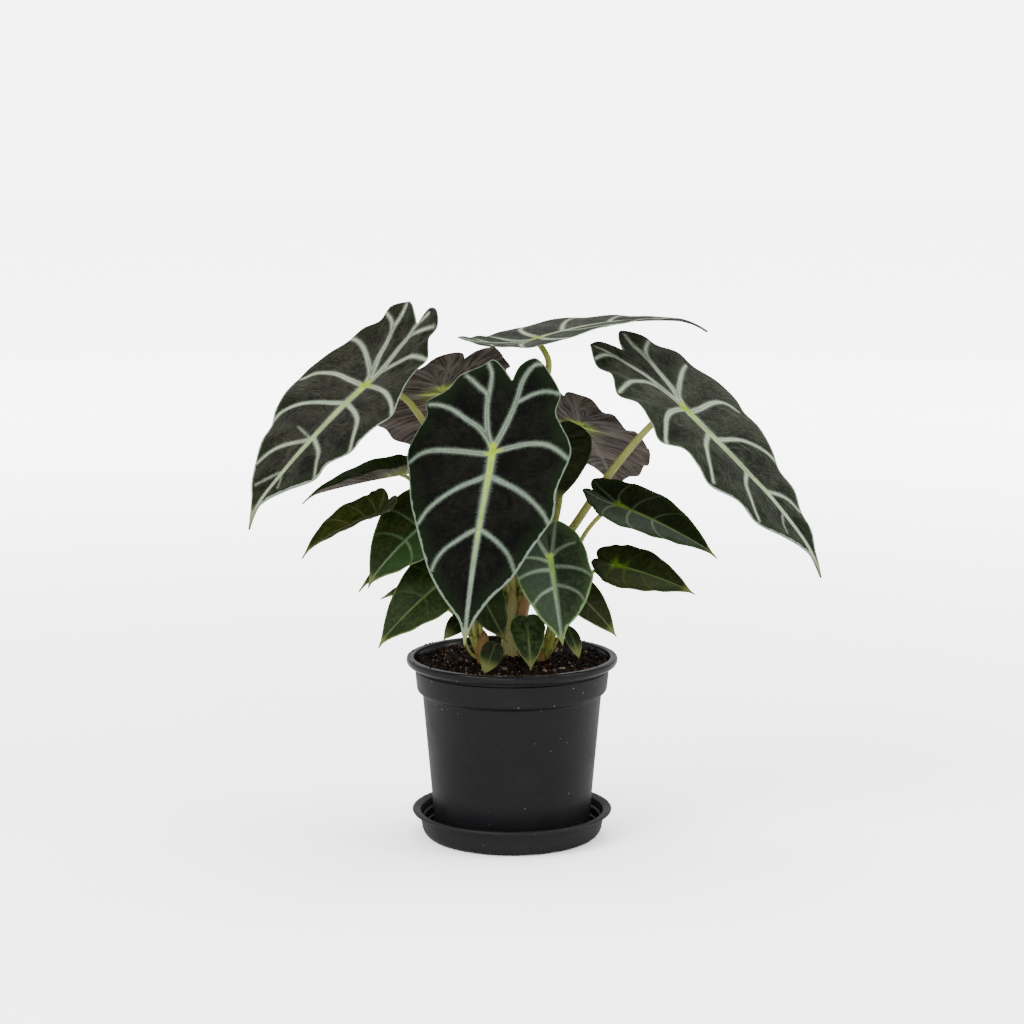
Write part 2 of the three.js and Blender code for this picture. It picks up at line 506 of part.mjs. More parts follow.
    name: 'front_heart', size: 'small', crown: 'right',
    junction: [8.5, -28, 126.5], tip: [10.5, -37, 102], facing: [5, 20], halfWidth: 10, lobe: 6.5,
    arch: 2, fold: 4, scallop: 0.6, spread: 0.3,
    stalk: [[14, -6, 107], [10, -16, 120]],
    radii: [1.1, 0.9],
  },
];

const SAMPLES = {
  large: { perSpan: 2, rings: 2, thickness: LARGE_BLADE },
  medium: { perSpan: 1, rings: 2, thickness: SMALL_BLADE },
  small: { perSpan: 1, rings: 1, thickness: SMALL_BLADE },
};

// Directions of a leaf: along its midrib, out of its upper face, and across it.
function leafFrame(leaf) {
  const junction = new THREE.Vector3(...leaf.junction);
  const along = new THREE.Vector3(...leaf.tip).sub(junction);
  const length = along.length();
  along.normalize();
  const azimuth = THREE.MathUtils.degToRad(leaf.facing[0]);
  const elevation = THREE.MathUtils.degToRad(leaf.facing[1]);
  const up = new THREE.Vector3(
    Math.sin(azimuth) * Math.cos(elevation),
    -Math.cos(azimuth) * Math.cos(elevation),
    Math.sin(elevation),
  );
  up.addScaledVector(along, -up.dot(along)).normalize();
  return { junction, along, up, across: new THREE.Vector3().crossVectors(up, along), length };
}

// The place in space of a flat leaf point, x in front of the stalk and y beside the midrib.
function bentPoint(leaf, frame, x, y, lift) {
  const { length } = frame;
  const share = x / length;
  const ahead = Math.max(share, 0);
  const behind = Math.max(-x / leaf.lobe, 0);
  const slope = (4 * leaf.arch + leaf.hook) / length;
  const hooked = Math.max((ahead - TIP_HOOK_START) / (1 - TIP_HOOK_START), 0);
  const height = slope * x - 4 * leaf.arch * ahead ** 2 - leaf.hook * hooked ** 2
    + (slope * leaf.lobe - leaf.lobeDrop) * behind ** 2;
  const fold = THREE.MathUtils.degToRad(leaf.fold);
  const soft = KEEL * leaf.halfWidth;
  const out = Math.abs(y) / leaf.halfWidth;
  const rise = (Math.hypot(y, soft) - soft) * Math.sin(fold) + leaf.cup * out ** 2 + leaf.wave * lift;
  const across = y * Math.cos(fold);
  const twist = THREE.MathUtils.degToRad(leaf.twist) * share;
  const side = across * Math.cos(twist) - rise * Math.sin(twist);
  const lifted = across * Math.sin(twist) + rise * Math.cos(twist);
  const forward = x - leaf.skew * side + leaf.rake * out ** 2;
  const sideways = side * (1 + leaf.spread * behind ** 2) + 4 * leaf.bend * share * (1 - share);
  return frame.junction.clone()
    .addScaledVector(frame.along, forward)
    .addScaledVector(frame.across, sideways)
    .addScaledVector(frame.up, height + lifted);
}

// Blade: both halves run from the midline out to the margin, and the sheet gets its thickness along
// its own normals, so that both faces are split into the same triangles.
function buildBlade(leaf, frame) {
  const { perSpan, rings, thickness } = SAMPLES[leaf.size];
  const steps = (MARGIN.length - 1) * perSpan;
  const middle = [];
  const index = new Map();
  const at = (i, ring, side) => {
    const key = ring === 0 || i === 0 || i === steps ? `${i}` : `${i} ${ring * side}`;
    if (!index.has(key)) {
      const t = i / steps;
      const margin = side > 0 ? leaf.rightMargin : leaf.leftMargin;
      const [x, scalloped, smooth, lift] = curveAt(margin, t);
      const width = scalloped * leaf.scallop + smooth * (1 - leaf.scallop);
      const midX = 1 - (1 + NOTCH_SHARE) * t ** 0.8;
      const out = i === 0 || i === steps ? 0 : ring / rings;
      const share = midX + out * (x - midX);
      const flatX = share > 0 ? share * frame.length : (share * leaf.lobe) / LOBE_SHARE;
      const point = bentPoint(leaf, frame, flatX, side * out * width * leaf.halfWidth, lift * out ** 2);
      index.set(key, middle.length);
      middle.push(point);
    }
    return index.get(key);
  };
  const sheet = [];
  const border = [];
  for (const side of [1, -1]) {
    for (let i = 0; i < steps; i += 1) {
      for (let ring = 0; ring < rings; ring += 1) {
        const inner = [at(i, ring, side), at(i + 1, ring, side)];
        const outer = [at(i + 1, ring + 1, side), at(i, ring + 1, side)];
        const quad = [...inner, ...outer];
        const [a, b, c, d] = side > 0 ? quad : [quad[0], quad[3], quad[2], quad[1]];
        for (const face of [[a, b, c], [a, c, d]]) {
          if (new Set(face).size === 3) sheet.push(face);
        }
      }
      const edge = [at(i, rings, side), at(i + 1, rings, side)];
      border.push(side > 0 ? edge : edge.reverse());
    }
  }
  const normals = middle.map(() => new THREE.Vector3());
  for (const [a, b, c] of sheet) {
    const ab = middle[b].clone().sub(middle[a]);
    const ac = middle[c].clone().sub(middle[a]);
    const normal = ab.cross(ac);
    for (const corner of [a, b, c]) normals[corner].add(normal);
  }
  const towardsUp = normals[at(Math.floor(steps / 2), 0, 1)].dot(frame.up) > 0 ? 1 : -1;
  const points = [];
  for (const sign of [1, -1]) {
    middle.forEach((point, i) => {
      const shift = normals[i].clone().setLength((sign * towardsUp * thickness) / 2);
      points.push(point.clone().add(shift).toArray());
    });
  }
  const count = middle.length;
  const faces = [];
  for (const [a, b, c] of sheet) {
    faces.push([a, b, c], [a + count, c + count, b + count]);
  }
  for (const [a, b] of border) {
    faces.push([a, b, b + count], [a, b + count, a + count]);
  }
  if (towardsUp < 0) faces.forEach((face) => face.reverse());
  return meshFrom(points, faces);
}

// Rings of a round tapering tube along a route, each square to the route there.
function tubeRings(route, radii, sides) {
  let side = new THREE.Vector3(1, 0, 0);
  return route.map((centre, i) => {
    const from = route[Math.max(i - 1, 0)];
    const to = route[Math.min(i + 1, route.length - 1)];
    const direction = to.clone().sub(from).normalize();
    side = side.clone().addScaledVector(direction, -side.dot(direction)).normalize();
    const other = new THREE.Vector3().crossVectors(direction, side);
    const points = [];
    for (let k = 0; k < sides; k += 1) {
      const angle = (k * 2 * Math.PI) / sides;
      points.push(centre.clone()
        .addScaledVector(side, radii[i] * Math.cos(angle))
        .addScaledVector(other, radii[i] * Math.sin(angle)));
    }
    return { direction, points };
  });
}

// The tube through the rings, closed at both ends.
function tube(rings) {
  const sides = rings[0].points.length;
  const points = rings.flatMap((ring) => ring.points.map((point) => point.toArray()));
  const faces = [];
  const last = (rings.length - 1) * sides;
  for (let k = 0; k < sides; k += 1) {
    const next = (k + 1) % sides;
    for (let r = 0; r < rings.length - 1; r += 1) {
      const low = r * sides;
      const high = low + sides;
      faces.push([low + k, low + next, high + next], [low + k, high + next, high + k]);
    }
    if (k > 0 && k < sides - 1) {
      faces.push([0, k + 1, k], [last, last + k, last + k + 1]);
    }
  }
  return meshFrom(points, faces);
}

// The whole route of a stalk: straight up out of the soil, through the fork and to the blade.
function stalkRoute(leaf, frame) {
  const crown = CROWNS[leaf.crown];
  const [baseRadius, topRadius] = leaf.radii;
  const fork = leaf.stalk[0];
  const way = [fork[0] - crown.centre[0], fork[1] - crown.centre[1]];
  const room = crown.radius - FLARE * baseRadius - GAP;
  const inward = Math.min(room / Math.hypot(...way), 1);
  const foot = [crown.centre[0] + inward * way[0], crown.centre[1] + inward * way[1]];
  const before = new THREE.Vector3(...leaf.stalk[leaf.stalk.length - 1]);
  const arriving = frame.junction.clone().sub(before).normalize();
  const lean = Math.sqrt(Math.max(1 - arriving.dot(frame.up) ** 2, 0));
  const clearance = SAMPLES[leaf.size].thickness / 2 + STALK_GAP + topRadius * lean;
  const end = frame.junction.clone().addScaledVector(frame.up, -clearance);
  return [[...foot, SOIL_TOP - 3], [...foot, SOIL_TOP + COLLAR], ...leaf.stalk, end.toArray()];
}

// Points along a route, with a number of steps in each span between two given points.
function sampleRoute(points, stepsPerSpan) {
  const steps = (points.length - 1) * stepsPerSpan;
  const route = [];
  for (let i = 0; i <= steps; i += 1) {
    route.push(new THREE.Vector3(...curveAt(points, i / steps)));
  }
  return route;
}

addMesh('saucer', buildSaucer(), plastic);
addMesh('pot', buildPot(), plastic);
addMesh('soil', buildSoil(), earth);

// Stalks and blades. The part of a stalk below the fork belongs to its crown.
const stubs = { main: [], left: [], right: [] };
for (const entry of LEAVES) {
  const leaf = { ...PLAIN_LEAF, ...entry };
  const frame = leafFrame(leaf);
  const large = leaf.size === 'large';
  addMesh(`blade_${leaf.name}`, buildBlade(leaf, frame), large ? darkBlade : youngBlade);

  const stepsPerSpan = large ? 3 : 2;
  const [baseRadius, topRadius] = leaf.radii;
  const route = sampleRoute(stalkRoute(leaf, frame), stepsPerSpan);
  const fork = 2 * stepsPerSpan;
  const radii = route.map((_, i) => {
    if (i <= fork) return baseRadius * (FLARE + ((1 - FLARE) * i) / fork);
    return baseRadius + ((topRadius - baseRadius) * (i - fork)) / (route.length - 1 - fork);
  });
  const rings = tubeRings(route, radii, large ? 8 : 6);
  stubs[leaf.crown].push(toSolid(tube(rings.slice(0, fork + 1))));
  const { direction, points } = rings[fork];
  const start = { direction, points: points.map((point) => point.clone().addScaledVector(direction, GAP)) };
  addMesh(`stalk_${leaf.name}`, tube([start, ...rings.slice(fork + 1)]), stalkGreen);
}

for (const [name, crown] of Object.entries(CROWNS)) {
  const [x, y] = crown.centre;
  let solid = toSolid(cylinder(crown.radius, SOIL_TOP - crown.depth, SOIL_TOP + 1.5, x, y));
  for (const stub of stubs[name]) solid = solid.add(stub);
  addMesh(`crown_${name}`, toGeometry(solid), crownGreen);
}

export default plant;
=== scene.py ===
# %% [markdown]
# # A potted black velvet alocasia
#
# The plant is an aroid with thick, almost black leaves and pale veins. Here it stands in a plastic
# nursery pot on a loose saucer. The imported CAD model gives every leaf, stalk and pot its place. This
# script dresses it: each CAD node is replaced by a finer surface of the same shape.
#
# All shapes below are worked out in millimetres, as the CAD was, and turned to Blender's metres once,
# when a mesh is made. The origin is under the middle of the saucer, on the floor. The front of the
# plant looks along -Y.

import math

import bmesh
import bpy
import numpy as np
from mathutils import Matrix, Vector


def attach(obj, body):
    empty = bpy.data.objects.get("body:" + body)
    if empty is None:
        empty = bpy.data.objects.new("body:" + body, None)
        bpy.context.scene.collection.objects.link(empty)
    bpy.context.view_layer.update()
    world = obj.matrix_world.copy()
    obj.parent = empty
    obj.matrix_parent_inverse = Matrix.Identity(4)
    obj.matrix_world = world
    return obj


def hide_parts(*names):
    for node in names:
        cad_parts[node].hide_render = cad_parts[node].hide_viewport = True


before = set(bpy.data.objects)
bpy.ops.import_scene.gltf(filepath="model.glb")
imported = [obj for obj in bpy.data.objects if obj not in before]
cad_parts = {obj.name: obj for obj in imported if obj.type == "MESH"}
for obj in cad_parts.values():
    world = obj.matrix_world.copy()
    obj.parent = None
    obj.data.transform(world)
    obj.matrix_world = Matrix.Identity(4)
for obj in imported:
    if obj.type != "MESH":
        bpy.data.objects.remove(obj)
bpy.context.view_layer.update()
MM = 0.001
print("CAD nodes:", len(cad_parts))

# %% [markdown]
# ## The camera
#
# The rim of the pot is a circle that the picture shows as an ellipse. Its height over its width gives
# the angle at which the camera looks down, and the way it changes from the rim to the saucer gives
# the distance. That is how these values were found. A long lens from well back keeps the leaves in
# front from looking larger than those behind.

# %% Camera
CAMERA_PLACE = (0.0, -1.423, 0.399)
CAMERA_DOWN = math.radians(8.5)
FOCAL_PIXELS = 2551  # in a picture of 1024 pixels
SENSOR = 36.0

camera_data = bpy.data.cameras.new("camera")
camera_data.sensor_width = SENSOR
camera_data.lens = FOCAL_PIXELS * SENSOR / 1024
camera_data.clip_end = 60
camera = bpy.data.objects.new("camera", camera_data)
camera.location = CAMERA_PLACE
camera.rotation_euler = (math.pi / 2 - CAMERA_DOWN, 0, 0)
bpy.context.scene.collection.objects.link(camera)
bpy.context.scene.camera = camera
print("lens in mm:", round(camera_data.lens, 1))

# %% [markdown]
# ## Meshes from arrays
#
# Nearly every part of a plant is a skin round something: a leaf is a flat tube, a stalk a round one,
# and the pot is a profile carried round a circle. So one helper is enough for most of the pieces. It
# takes a grid of points, whose columns run round the tube and whose rows run along it, and closes the
# grid into a mesh. The points are worked out by numpy as whole arrays, which is quick and keeps the
# formula in one place.


# %% Helpers for meshes
def tube_faces(rows, around):
    """Faces of a closed tube: a point at the start, rows of points round it, a point at the end."""
    ring = 1 + np.arange(rows * around).reshape(rows, around)
    beside = np.roll(ring, -1, axis=1)
    quads = np.stack([ring[:-1], beside[:-1], beside[1:], ring[1:]], axis=-1).reshape(-1, 4)
    start = np.stack([np.zeros(around, int), beside[0], ring[0]], axis=-1)
    end = np.stack([np.full(around, 1 + rows * around), ring[-1], beside[-1]], axis=-1)
    return quads, start, end


def enclosed_volume(points, quads, caps):
    """Six times the volume inside the faces. It is negative where they point inwards."""
    a, b, c, d = (points[quads[:, k]] for k in range(4))
    total = np.einsum("ij,ij->", a, np.cross(b, c)) + np.einsum("ij,ij->", a, np.cross(c, d))
    for cap in caps:
        p, q, r = (points[cap[:, k]] for k in range(3))
        total += np.einsum("ij,ij->", p, np.cross(q, r))
    return total


def add_mesh(name, points, faces, materials, attributes=None, face_material=None):
    """A mesh object from points in millimetres, smooth shaded, with one value a point per attribute."""
    mesh = bpy.data.meshes.new(name)
    mesh.from_pydata((np.asarray(points) * MM).tolist(), [], faces)
    mesh.polygons.foreach_set("use_smooth", np.ones(len(faces), bool))
    for material in materials:
        mesh.materials.append(material)
    if face_material is not None:
        mesh.polygons.foreach_set("material_index", np.asarray(face_material, dtype=np.int32))
    for key, values in (attributes or {}).items():
        layer = mesh.attributes.new(key, "FLOAT", "POINT")
        layer.data.foreach_set("value", np.asarray(values, dtype=np.float32).ravel())
    mesh.update()
    piece = bpy.data.objects.new(name, mesh)
    bpy.context.scene.collection.objects.link(piece)
    return piece


def tube_skin(grid, start, end, attributes=None, face_material=None):
    """A closed tube through a grid of points (rows, around, 3) from a start point to an end point.

    An attribute has a value for each point of the grid, or for each row or column, or one for all.
    Its first and its last value go to the two ends.
    """
    rows, around = grid.shape[:2]
    points = np.concatenate([[start], grid.reshape(-1, 3), [end]])
    quads, first, last = tube_faces(rows, around)
    if enclosed_volume(points, quads, (first, last)) < 0:
        quads, first, last = quads[:, ::-1], first[:, ::-1], last[:, ::-1]
    faces = quads.tolist() + first.tolist() + last.tolist()
    values = {}
    for key, value in (attributes or {}).items():
        flat = np.broadcast_to(value, (rows, around)).ravel()
        values[key] = np.concatenate([[flat[0]], flat, [flat[-1]]])
    number = np.zeros(len(faces), int) if face_material is None else np.asarray(face_material)
    return points, faces, values, number


def add_skins(name, skins, materials):
    """One object out of several skins, with their attributes and their materials by number."""
    points, faces, numbers = [], [], []
    values = {key: [] for key in skins[0][2]}
    count = 0
    for skin_points, skin_faces, skin_values, skin_number in skins:
        faces += [[corner + count for corner in face] for face in skin_faces]
        points.append(skin_points)
        numbers.append(skin_number)
        for key in values:
            values[key].append(skin_values[key])
        count += len(skin_points)
    values = {key: np.concatenate(value) for key, value in values.items()}
    return add_mesh(name, np.concatenate(points), faces, materials, values, np.concatenate(numbers))


def dress(piece, slot, *nodes):
    """Say which body a piece rides on and which CAD nodes it stands for. slot is not used."""
    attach(piece, "root")
    if nodes:
        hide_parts(*nodes)


def smoothstep(value, low, high):
    """0 below low, 1 above high, and a smooth cubic between them."""
    share = np.clip((value - low) / (high - low), 0, 1)
    return share * share * (3 - 2 * share)


def curve_at(points, t):
    """The smooth curve through the rows of points at t from 0 to 1.

    It is the Catmull-Rom curve with its end points doubled: each span is the cubic that leaves and
    arrives along half the difference of the neighbouring points.
    """
    points = np.asarray(points, dtype=float)
    last = len(points) - 1
    place = np.clip(t, 0, 1) * last
    i = np.minimum(place.astype(int), last - 1)
    w = (place - i)[..., None]
    before = points[np.maximum(i - 1, 0)]
    start = points[i]
    end = points[i + 1]
    after = points[np.minimum(i + 2, last)]
    leave = (end - before) / 2
    arrive = (after - start) / 2
    cubic = 2 * start - 2 * end + leave + arrive
    square = -3 * start + 3 * end - 2 * leave - arrive
    return ((cubic * w + square) * w + leave) * w + start


# %% [markdown]
# ## Node groups
#
# A node group is a small machine that several materials share: it is built once and each material
# sets its inputs. The helpers below only save typing. They place a node, join it to others and give
# a new group its sockets.


# %% Helpers for nodes
def set_socket(tree, socket, value):
    """Join a socket to another node's output, or give it a number, a vector or a colour of three."""
    if isinstance(value, bpy.types.NodeSocket):
        tree.links.new(value, socket)
    else:
        socket.default_value = (*value, 1.0) if socket.type == "RGBA" else value


def add_node(tree, kind, inputs=None, **settings):
    """Add a node; inputs maps a socket's name or number to a value or to another node's output."""
    node = tree.nodes.new(kind)
    for key, value in settings.items():
        setattr(node, key, value)
    for key, value in (inputs or {}).items():
        set_socket(tree, node.inputs[key], value)
    return node


def calculate(tree, operation, *values, clamp=False):
    """The output of a Math node."""
    node = add_node(tree, "ShaderNodeMath", dict(enumerate(values)), operation=operation, use_clamp=clamp)
    return node.outputs[0]


def times(tree, *values, clamp=False):
    """The product of two values."""
    return calculate(tree, "MULTIPLY", *values, clamp=clamp)


def plus(tree, *values):
    """The sum of two values."""
    return calculate(tree, "ADD", *values)


def flat_point(tree, x, y):
    """A vector of two values, to read a noise with a grain of its own along and across."""
    return add_node(tree, "ShaderNodeCombineXYZ", {"X": x, "Y": y}).outputs[0]


def vector_length(tree, vector):
    """How long a vector is."""
    return add_node(tree, "ShaderNodeVectorMath", {0: vector}, operation="LENGTH").outputs["Value"]


def grey(tree, value):
    """A grey colour of a value, to multiply another colour with."""
    return add_node(tree, "ShaderNodeCombineXYZ", {"X": value, "Y": value, "Z": value}).outputs[0]


def ramp_value(tree, value, low, high, low_gives=0.0, high_gives=1.0):
    """A smooth step of a value, from low_gives at low to high_gives at high."""
    node = add_node(
        tree, "ShaderNodeMapRange",
        {"Value": value, "From Min": low, "From Max": high, "To Min": low_gives, "To Max": high_gives},
        interpolation_type="SMOOTHSTEP",
    )
    return node.outputs["Result"]


def blend_colour(tree, share, first, second, mode="MIX"):
    """First colour where share is 0 and second where it is 1."""
    node = add_node(tree, "ShaderNodeMix", data_type="RGBA", blend_type=mode)
    for number, value in ((0, share), (6, first), (7, second)):
        set_socket(tree, node.inputs[number], value)
    return node.outputs[2]


def noise(tree, vector, scale, detail=3.0, roughness=0.5):
    """The value output of a Noise Texture."""
    inputs = {"Vector": vector, "Scale": scale, "Detail": detail, "Roughness": roughness}
    return add_node(tree, "ShaderNodeTexNoise", inputs).outputs["Fac"]


def attribute(tree, name):
    """A value that is stored at each point of the mesh."""
    return add_node(tree, "ShaderNodeAttribute", attribute_name=name).outputs["Fac"]


def object_place(tree):
    """Where a point of the piece is, in metres."""
    return add_node(tree, "ShaderNodeTexCoord").outputs["Object"]


def new_group(name, inputs, outputs):
    """A node group with named sockets. inputs and outputs are lists of (name, kind, start value)."""
    tree = bpy.data.node_groups.new(name, "ShaderNodeTree")
    for socket_name, kind, start in inputs:
        socket = tree.interface.new_socket(socket_name, in_out="INPUT", socket_type=f"NodeSocket{kind}")
        if start is not None:
            socket.default_value = start
    for socket_name, kind in outputs:
        tree.interface.new_socket(socket_name, in_out="OUTPUT", socket_type=f"NodeSocket{kind}")
    entry = tree.nodes.new("NodeGroupInput")
    leaving = tree.nodes.new("NodeGroupOutput")
    return tree, entry.outputs, leaving.inputs


def use_group(tree, group, inputs):
    """Place a node group in a material and return its outputs."""
    return add_node(tree, "ShaderNodeGroup", inputs, node_tree=group).outputs


def new_material(name):
    """A material with an empty Principled shader. Returns the material, its tree and the shader."""
    material = bpy.data.materials.new(name)
    material.use_nodes = True
    tree = material.node_tree
    shader = tree.nodes["Principled BSDF"]
    return material, tree, shader


def bump(tree, height, distance):
    """The normal that a height gives; distance is the height of 1 in metres."""
    inputs = {"Height": height, "Distance": distance, "Strength": 1.0}
    return add_node(tree, "ShaderNodeBump", inputs).outputs["Normal"]


# %% [markdown]
# ## Floor and light
#
# The plant stands on a white table in front of a white wall, with the two melting into each other.
# A far floor of matt white under an even white sky gives the same look from every side, which a
# curved backdrop wouldn't. Large soft lamps give the plant its form and the saucer its faint shadow,
# and a low one in front lights it from below the leaves, as the bright table does. A camera sees none
# of them. The floor is clear from below, so that a camera under it sees the saucer.
#
# In the picture the white surroundings are exposed much brighter than the dark leaves. Blender's own
# film curve would turn such a white grey. So floor and sky are seen brighter than they shine on the
# plant: a Light Path node tells a ray of the camera from one that carries light to a leaf.

# %% Floor
FLOOR_RADIUS = 14000.0
FLOOR_WHITE = 0.84
SEEN_NEAR = 4.6  # how much brighter the floor is seen than it is, near the pot
SEEN_FAR = 12.0  # and far away, where the lamps no longer reach it
SEEN_REACH = (0.25, 2.6)  # where near ends and far begins, in m from the pot

floor_finish, floor_tree, floor_shader = new_material("white_floor")
floor_place = object_place(floor_tree)
floor_grain = ramp_value(floor_tree, noise(floor_tree, floor_place, 3.0, detail=2.0), 0.3, 0.7,
                         FLOOR_WHITE - 0.01, FLOOR_WHITE)
floor_seen = ramp_value(floor_tree, vector_length(floor_tree, floor_place), *SEEN_REACH, SEEN_NEAR, SEEN_FAR)
by_camera = add_node(floor_tree, "ShaderNodeLightPath").outputs["Is Camera Ray"]
floor_lift = blend_colour(floor_tree, by_camera, (1.0, 1.0, 1.0), floor_seen)
floor_tint = blend_colour(floor_tree, 1.0, floor_lift, floor_grain, mode="MULTIPLY")
floor_tree.links.new(floor_tint, floor_shader.inputs["Base Color"])
floor_shader.inputs["Roughness"].default_value = 0.9
floor_shader.inputs["Specular IOR Level"].default_value = 0.0
from_below = add_node(floor_tree, "ShaderNodeNewGeometry").outputs["Backfacing"]
floor_or_nothing = add_node(floor_tree, "ShaderNodeMixShader", {
    0: from_below, 1: floor_shader.outputs["BSDF"],
    2: add_node(floor_tree, "ShaderNodeBsdfTransparent").outputs["BSDF"],
})
floor_surface = floor_tree.nodes["Material Output"].inputs["Surface"]
floor_tree.links.new(floor_or_nothing.outputs["Shader"], floor_surface)

angles = np.linspace(0, 2 * np.pi, 96, endpoint=False)
floor_points = FLOOR_RADIUS * np.stack([np.cos(angles), np.sin(angles), 0 * angles], axis=-1)
floor = add_mesh("floor", floor_points, [list(range(len(angles)))], [floor_finish])
print("floor radius in m:", FLOOR_RADIUS * MM)

# %% Light
world = bpy.data.worlds.new("white_room")
world.use_nodes = True
bpy.context.scene.world = world
world_tree = world.node_tree
SKY_LIGHT = 0.62
SKY_SEEN = 6.4
sky_by_camera = add_node(world_tree, "ShaderNodeLightPath").outputs["Is Camera Ray"]
sky_strength = add_node(world_tree, "ShaderNodeMapRange", {
    "Value": sky_by_camera, "To Min": SKY_LIGHT, "To Max": SKY_SEEN,
})
background = world_tree.nodes["Background"]
background.inputs["Color"].default_value = (1.0, 1.0, 1.0, 1.0)
world_tree.links.new(sky_strength.outputs["Result"], background.inputs["Strength"])


def add_lamp(name, place, aim, size, power):
    """A square soft white lamp at a place in metres, turned to a point in metres."""
    lamp_data = bpy.data.lights.new(name, "AREA")
    lamp_data.size = size
    lamp_data.energy = power
    lamp = bpy.data.objects.new(name, lamp_data)
    lamp.visible_camera = False
    lamp.location = place
    lamp.rotation_euler = (Vector(aim) - Vector(place)).to_track_quat("-Z", "Y").to_euler()
    bpy.context.scene.collection.objects.link(lamp)


PLANT_MIDDLE = (0.0, 0.0, 0.18)
add_lamp("key_lamp", (-1.3, -1.2, 1.7), PLANT_MIDDLE, 1.1, 18.0)
add_lamp("top_lamp", (0.3, 0.5, 2.1), PLANT_MIDDLE, 1.4, 16.0)
add_lamp("side_lamp", (1.7, -0.5, 1.1), PLANT_MIDDLE, 1.0, 9.0)
add_lamp("low_lamp", (-0.3, -1.25, 0.2), (0.0, 0.0, 0.11), 0.7, 2.2)
print("lamps:", len(bpy.data.lights))

# %% [markdown]
# ## The shape of a leaf
#
# A leaf is a flat outline that has been bent. The outline is the margin of one half, from the tip
# round the lobe to the notch above the stalk. A point of the blade has two parameters: how far along
# the margin, and how far out from the midrib to that margin. Bending comes after: the midrib arches,
# the halves fold up, the margin waves, and the tip hooks down. These are the formulas and the values
# of the CAD source, so the fine leaf lies in the plain one. Scanned leaves would show more accident,
# but a formula can carry the veins along, which matters more here.

# %% Outline of half a leaf
# Rows from the tip to the notch: share of the length in front of the stalk, share of the half width
# on a scalloped mature leaf, the same on a smooth young one, and which way the margin waves.
MARGIN = np.array([
    [1.0, 0, 0, 0], [0.93, 0.035, 0.055, 0], [0.86, 0.105, 0.17, 0], [0.755, 0.285, 0.35, 0.4],
    [0.64, 0.52, 0.53, -0.6], [0.53, 0.63, 0.66, 0.6], [0.4, 0.805, 0.81, -0.8],
    [0.3, 0.86, 0.895, 0.6], [0.2, 0.895, 0.955, 1.0], [0.09, 1.0, 0.99, -1.0],
    [-0.01, 0.965, 0.99, 0.2], [-0.105, 0.9, 0.965, 0.9], [-0.19, 0.86, 0.9, -0.9],
    [-0.275, 0.69, 0.8, 0.8], [-0.345, 0.59, 0.68, -0.7], [-0.41, 0.44, 0.52, 0.5],
    [-0.465, 0.285, 0.33, -0.5], [-0.445, 0.115, 0.14, 0], [-0.405, 0.035, 0.045, 0],
    [-0.365, 0, 0, 0],
])
print("corners of a margin:", len(MARGIN))
NOTCH_SHARE = 0.365


def own_margin(rows):
    """A margin whose two widths are the same: share of the length, of the half width, and wave.

    It starts at the tip and ends in the notch, where the width is 0.
    """
    rows = [(1.0, 0, 0), *rows, (-NOTCH_SHARE, 0, 0)]
    return np.array([[x, y, y, lift] for x, y, lift in rows])


# The leaves that show most have margins of their own, right and left as seen with the tip down.
FRONT_RIGHT_MARGIN = own_margin([
    (0.93, 0.045, 0), (0.85, 0.135, 0), (0.745, 0.305, 0.4), (0.64, 0.52, -0.6),
    (0.51, 0.69, 0.6), (0.4, 0.815, -0.8), (0.325, 0.9, 0.6), (0.19, 0.875, 1.0), (0.05, 0.915, -1.0),
    (-0.01, 0.92, 0.2), (-0.07, 0.855, 0.9), (-0.13, 0.74, -0.6), (-0.21, 0.62, 0.4),
    (-0.3, 0.61, -0.5), (-0.37, 0.505, 0.5), (-0.46, 0.3, -0.5), (-0.485, 0.17, 0),
    (-0.44, 0.035, 0),
])
FRONT_LEFT_MARGIN = own_margin([
    (0.93, 0.03, 0), (0.86, 0.085, 0), (0.74, 0.315, 0.4), (0.64, 0.48, -0.6),
    (0.54, 0.58, 0.6), (0.4, 0.735, -0.8), (0.3, 0.825, 0.6), (0.17, 0.915, 1.0), (0.06, 1.025, -1.0),
    (-0.02, 1.0, 0.2), (-0.1, 0.94, 0.9), (-0.16, 0.92, -0.9), (-0.225, 0.95, 0.8),
    (-0.3, 0.755, -0.7), (-0.375, 0.64, 0.5), (-0.43, 0.43, -0.5), (-0.467, 0.29, 0),
    (-0.42, 0.13, 0),
])
LEFT_NEAR_MARGIN = own_margin([
    (0.93, 0.03, 0), (0.86, 0.1, 0), (0.75, 0.39, 0.4), (0.6, 0.7, -0.6),
    (0.49, 0.77, 0.6), (0.36, 0.87, -0.8), (0.27, 0.89, 0.2), (0.17, 0.89, 0.3), (0.06, 0.845, -1.0),
    (-0.03, 0.72, 0.4), (-0.1, 0.61, 0.9), (-0.18, 0.54, 0.4), (-0.26, 0.52, -0.9),
    (-0.33, 0.4, 0.6), (-0.4, 0.39, -0.6), (-0.455, 0.27, -0.2), (-0.455, 0.12, 0),
    (-0.42, 0.04, 0),
])
LEFT_FAR_MARGIN = own_margin([
    (0.935, 0.05, 0), (0.87, 0.13, 0), (0.79, 0.27, 0.4), (0.69, 0.45, -0.6),
    (0.57, 0.56, 0.6), (0.45, 0.69, -0.8), (0.36, 0.78, 0.6), (0.23, 0.89, 1.0), (0.09, 1.055, -1.0),
    (0.0, 1.04, 0.2), (-0.1, 0.985, 0.9), (-0.2, 0.96, -0.9), (-0.265, 0.79, 0.8),
    (-0.33, 0.665, -0.7), (-0.395, 0.555, 0.5), (-0.44, 0.37, -0.5), (-0.44, 0.25, 0),
    (-0.405, 0.12, 0),
])
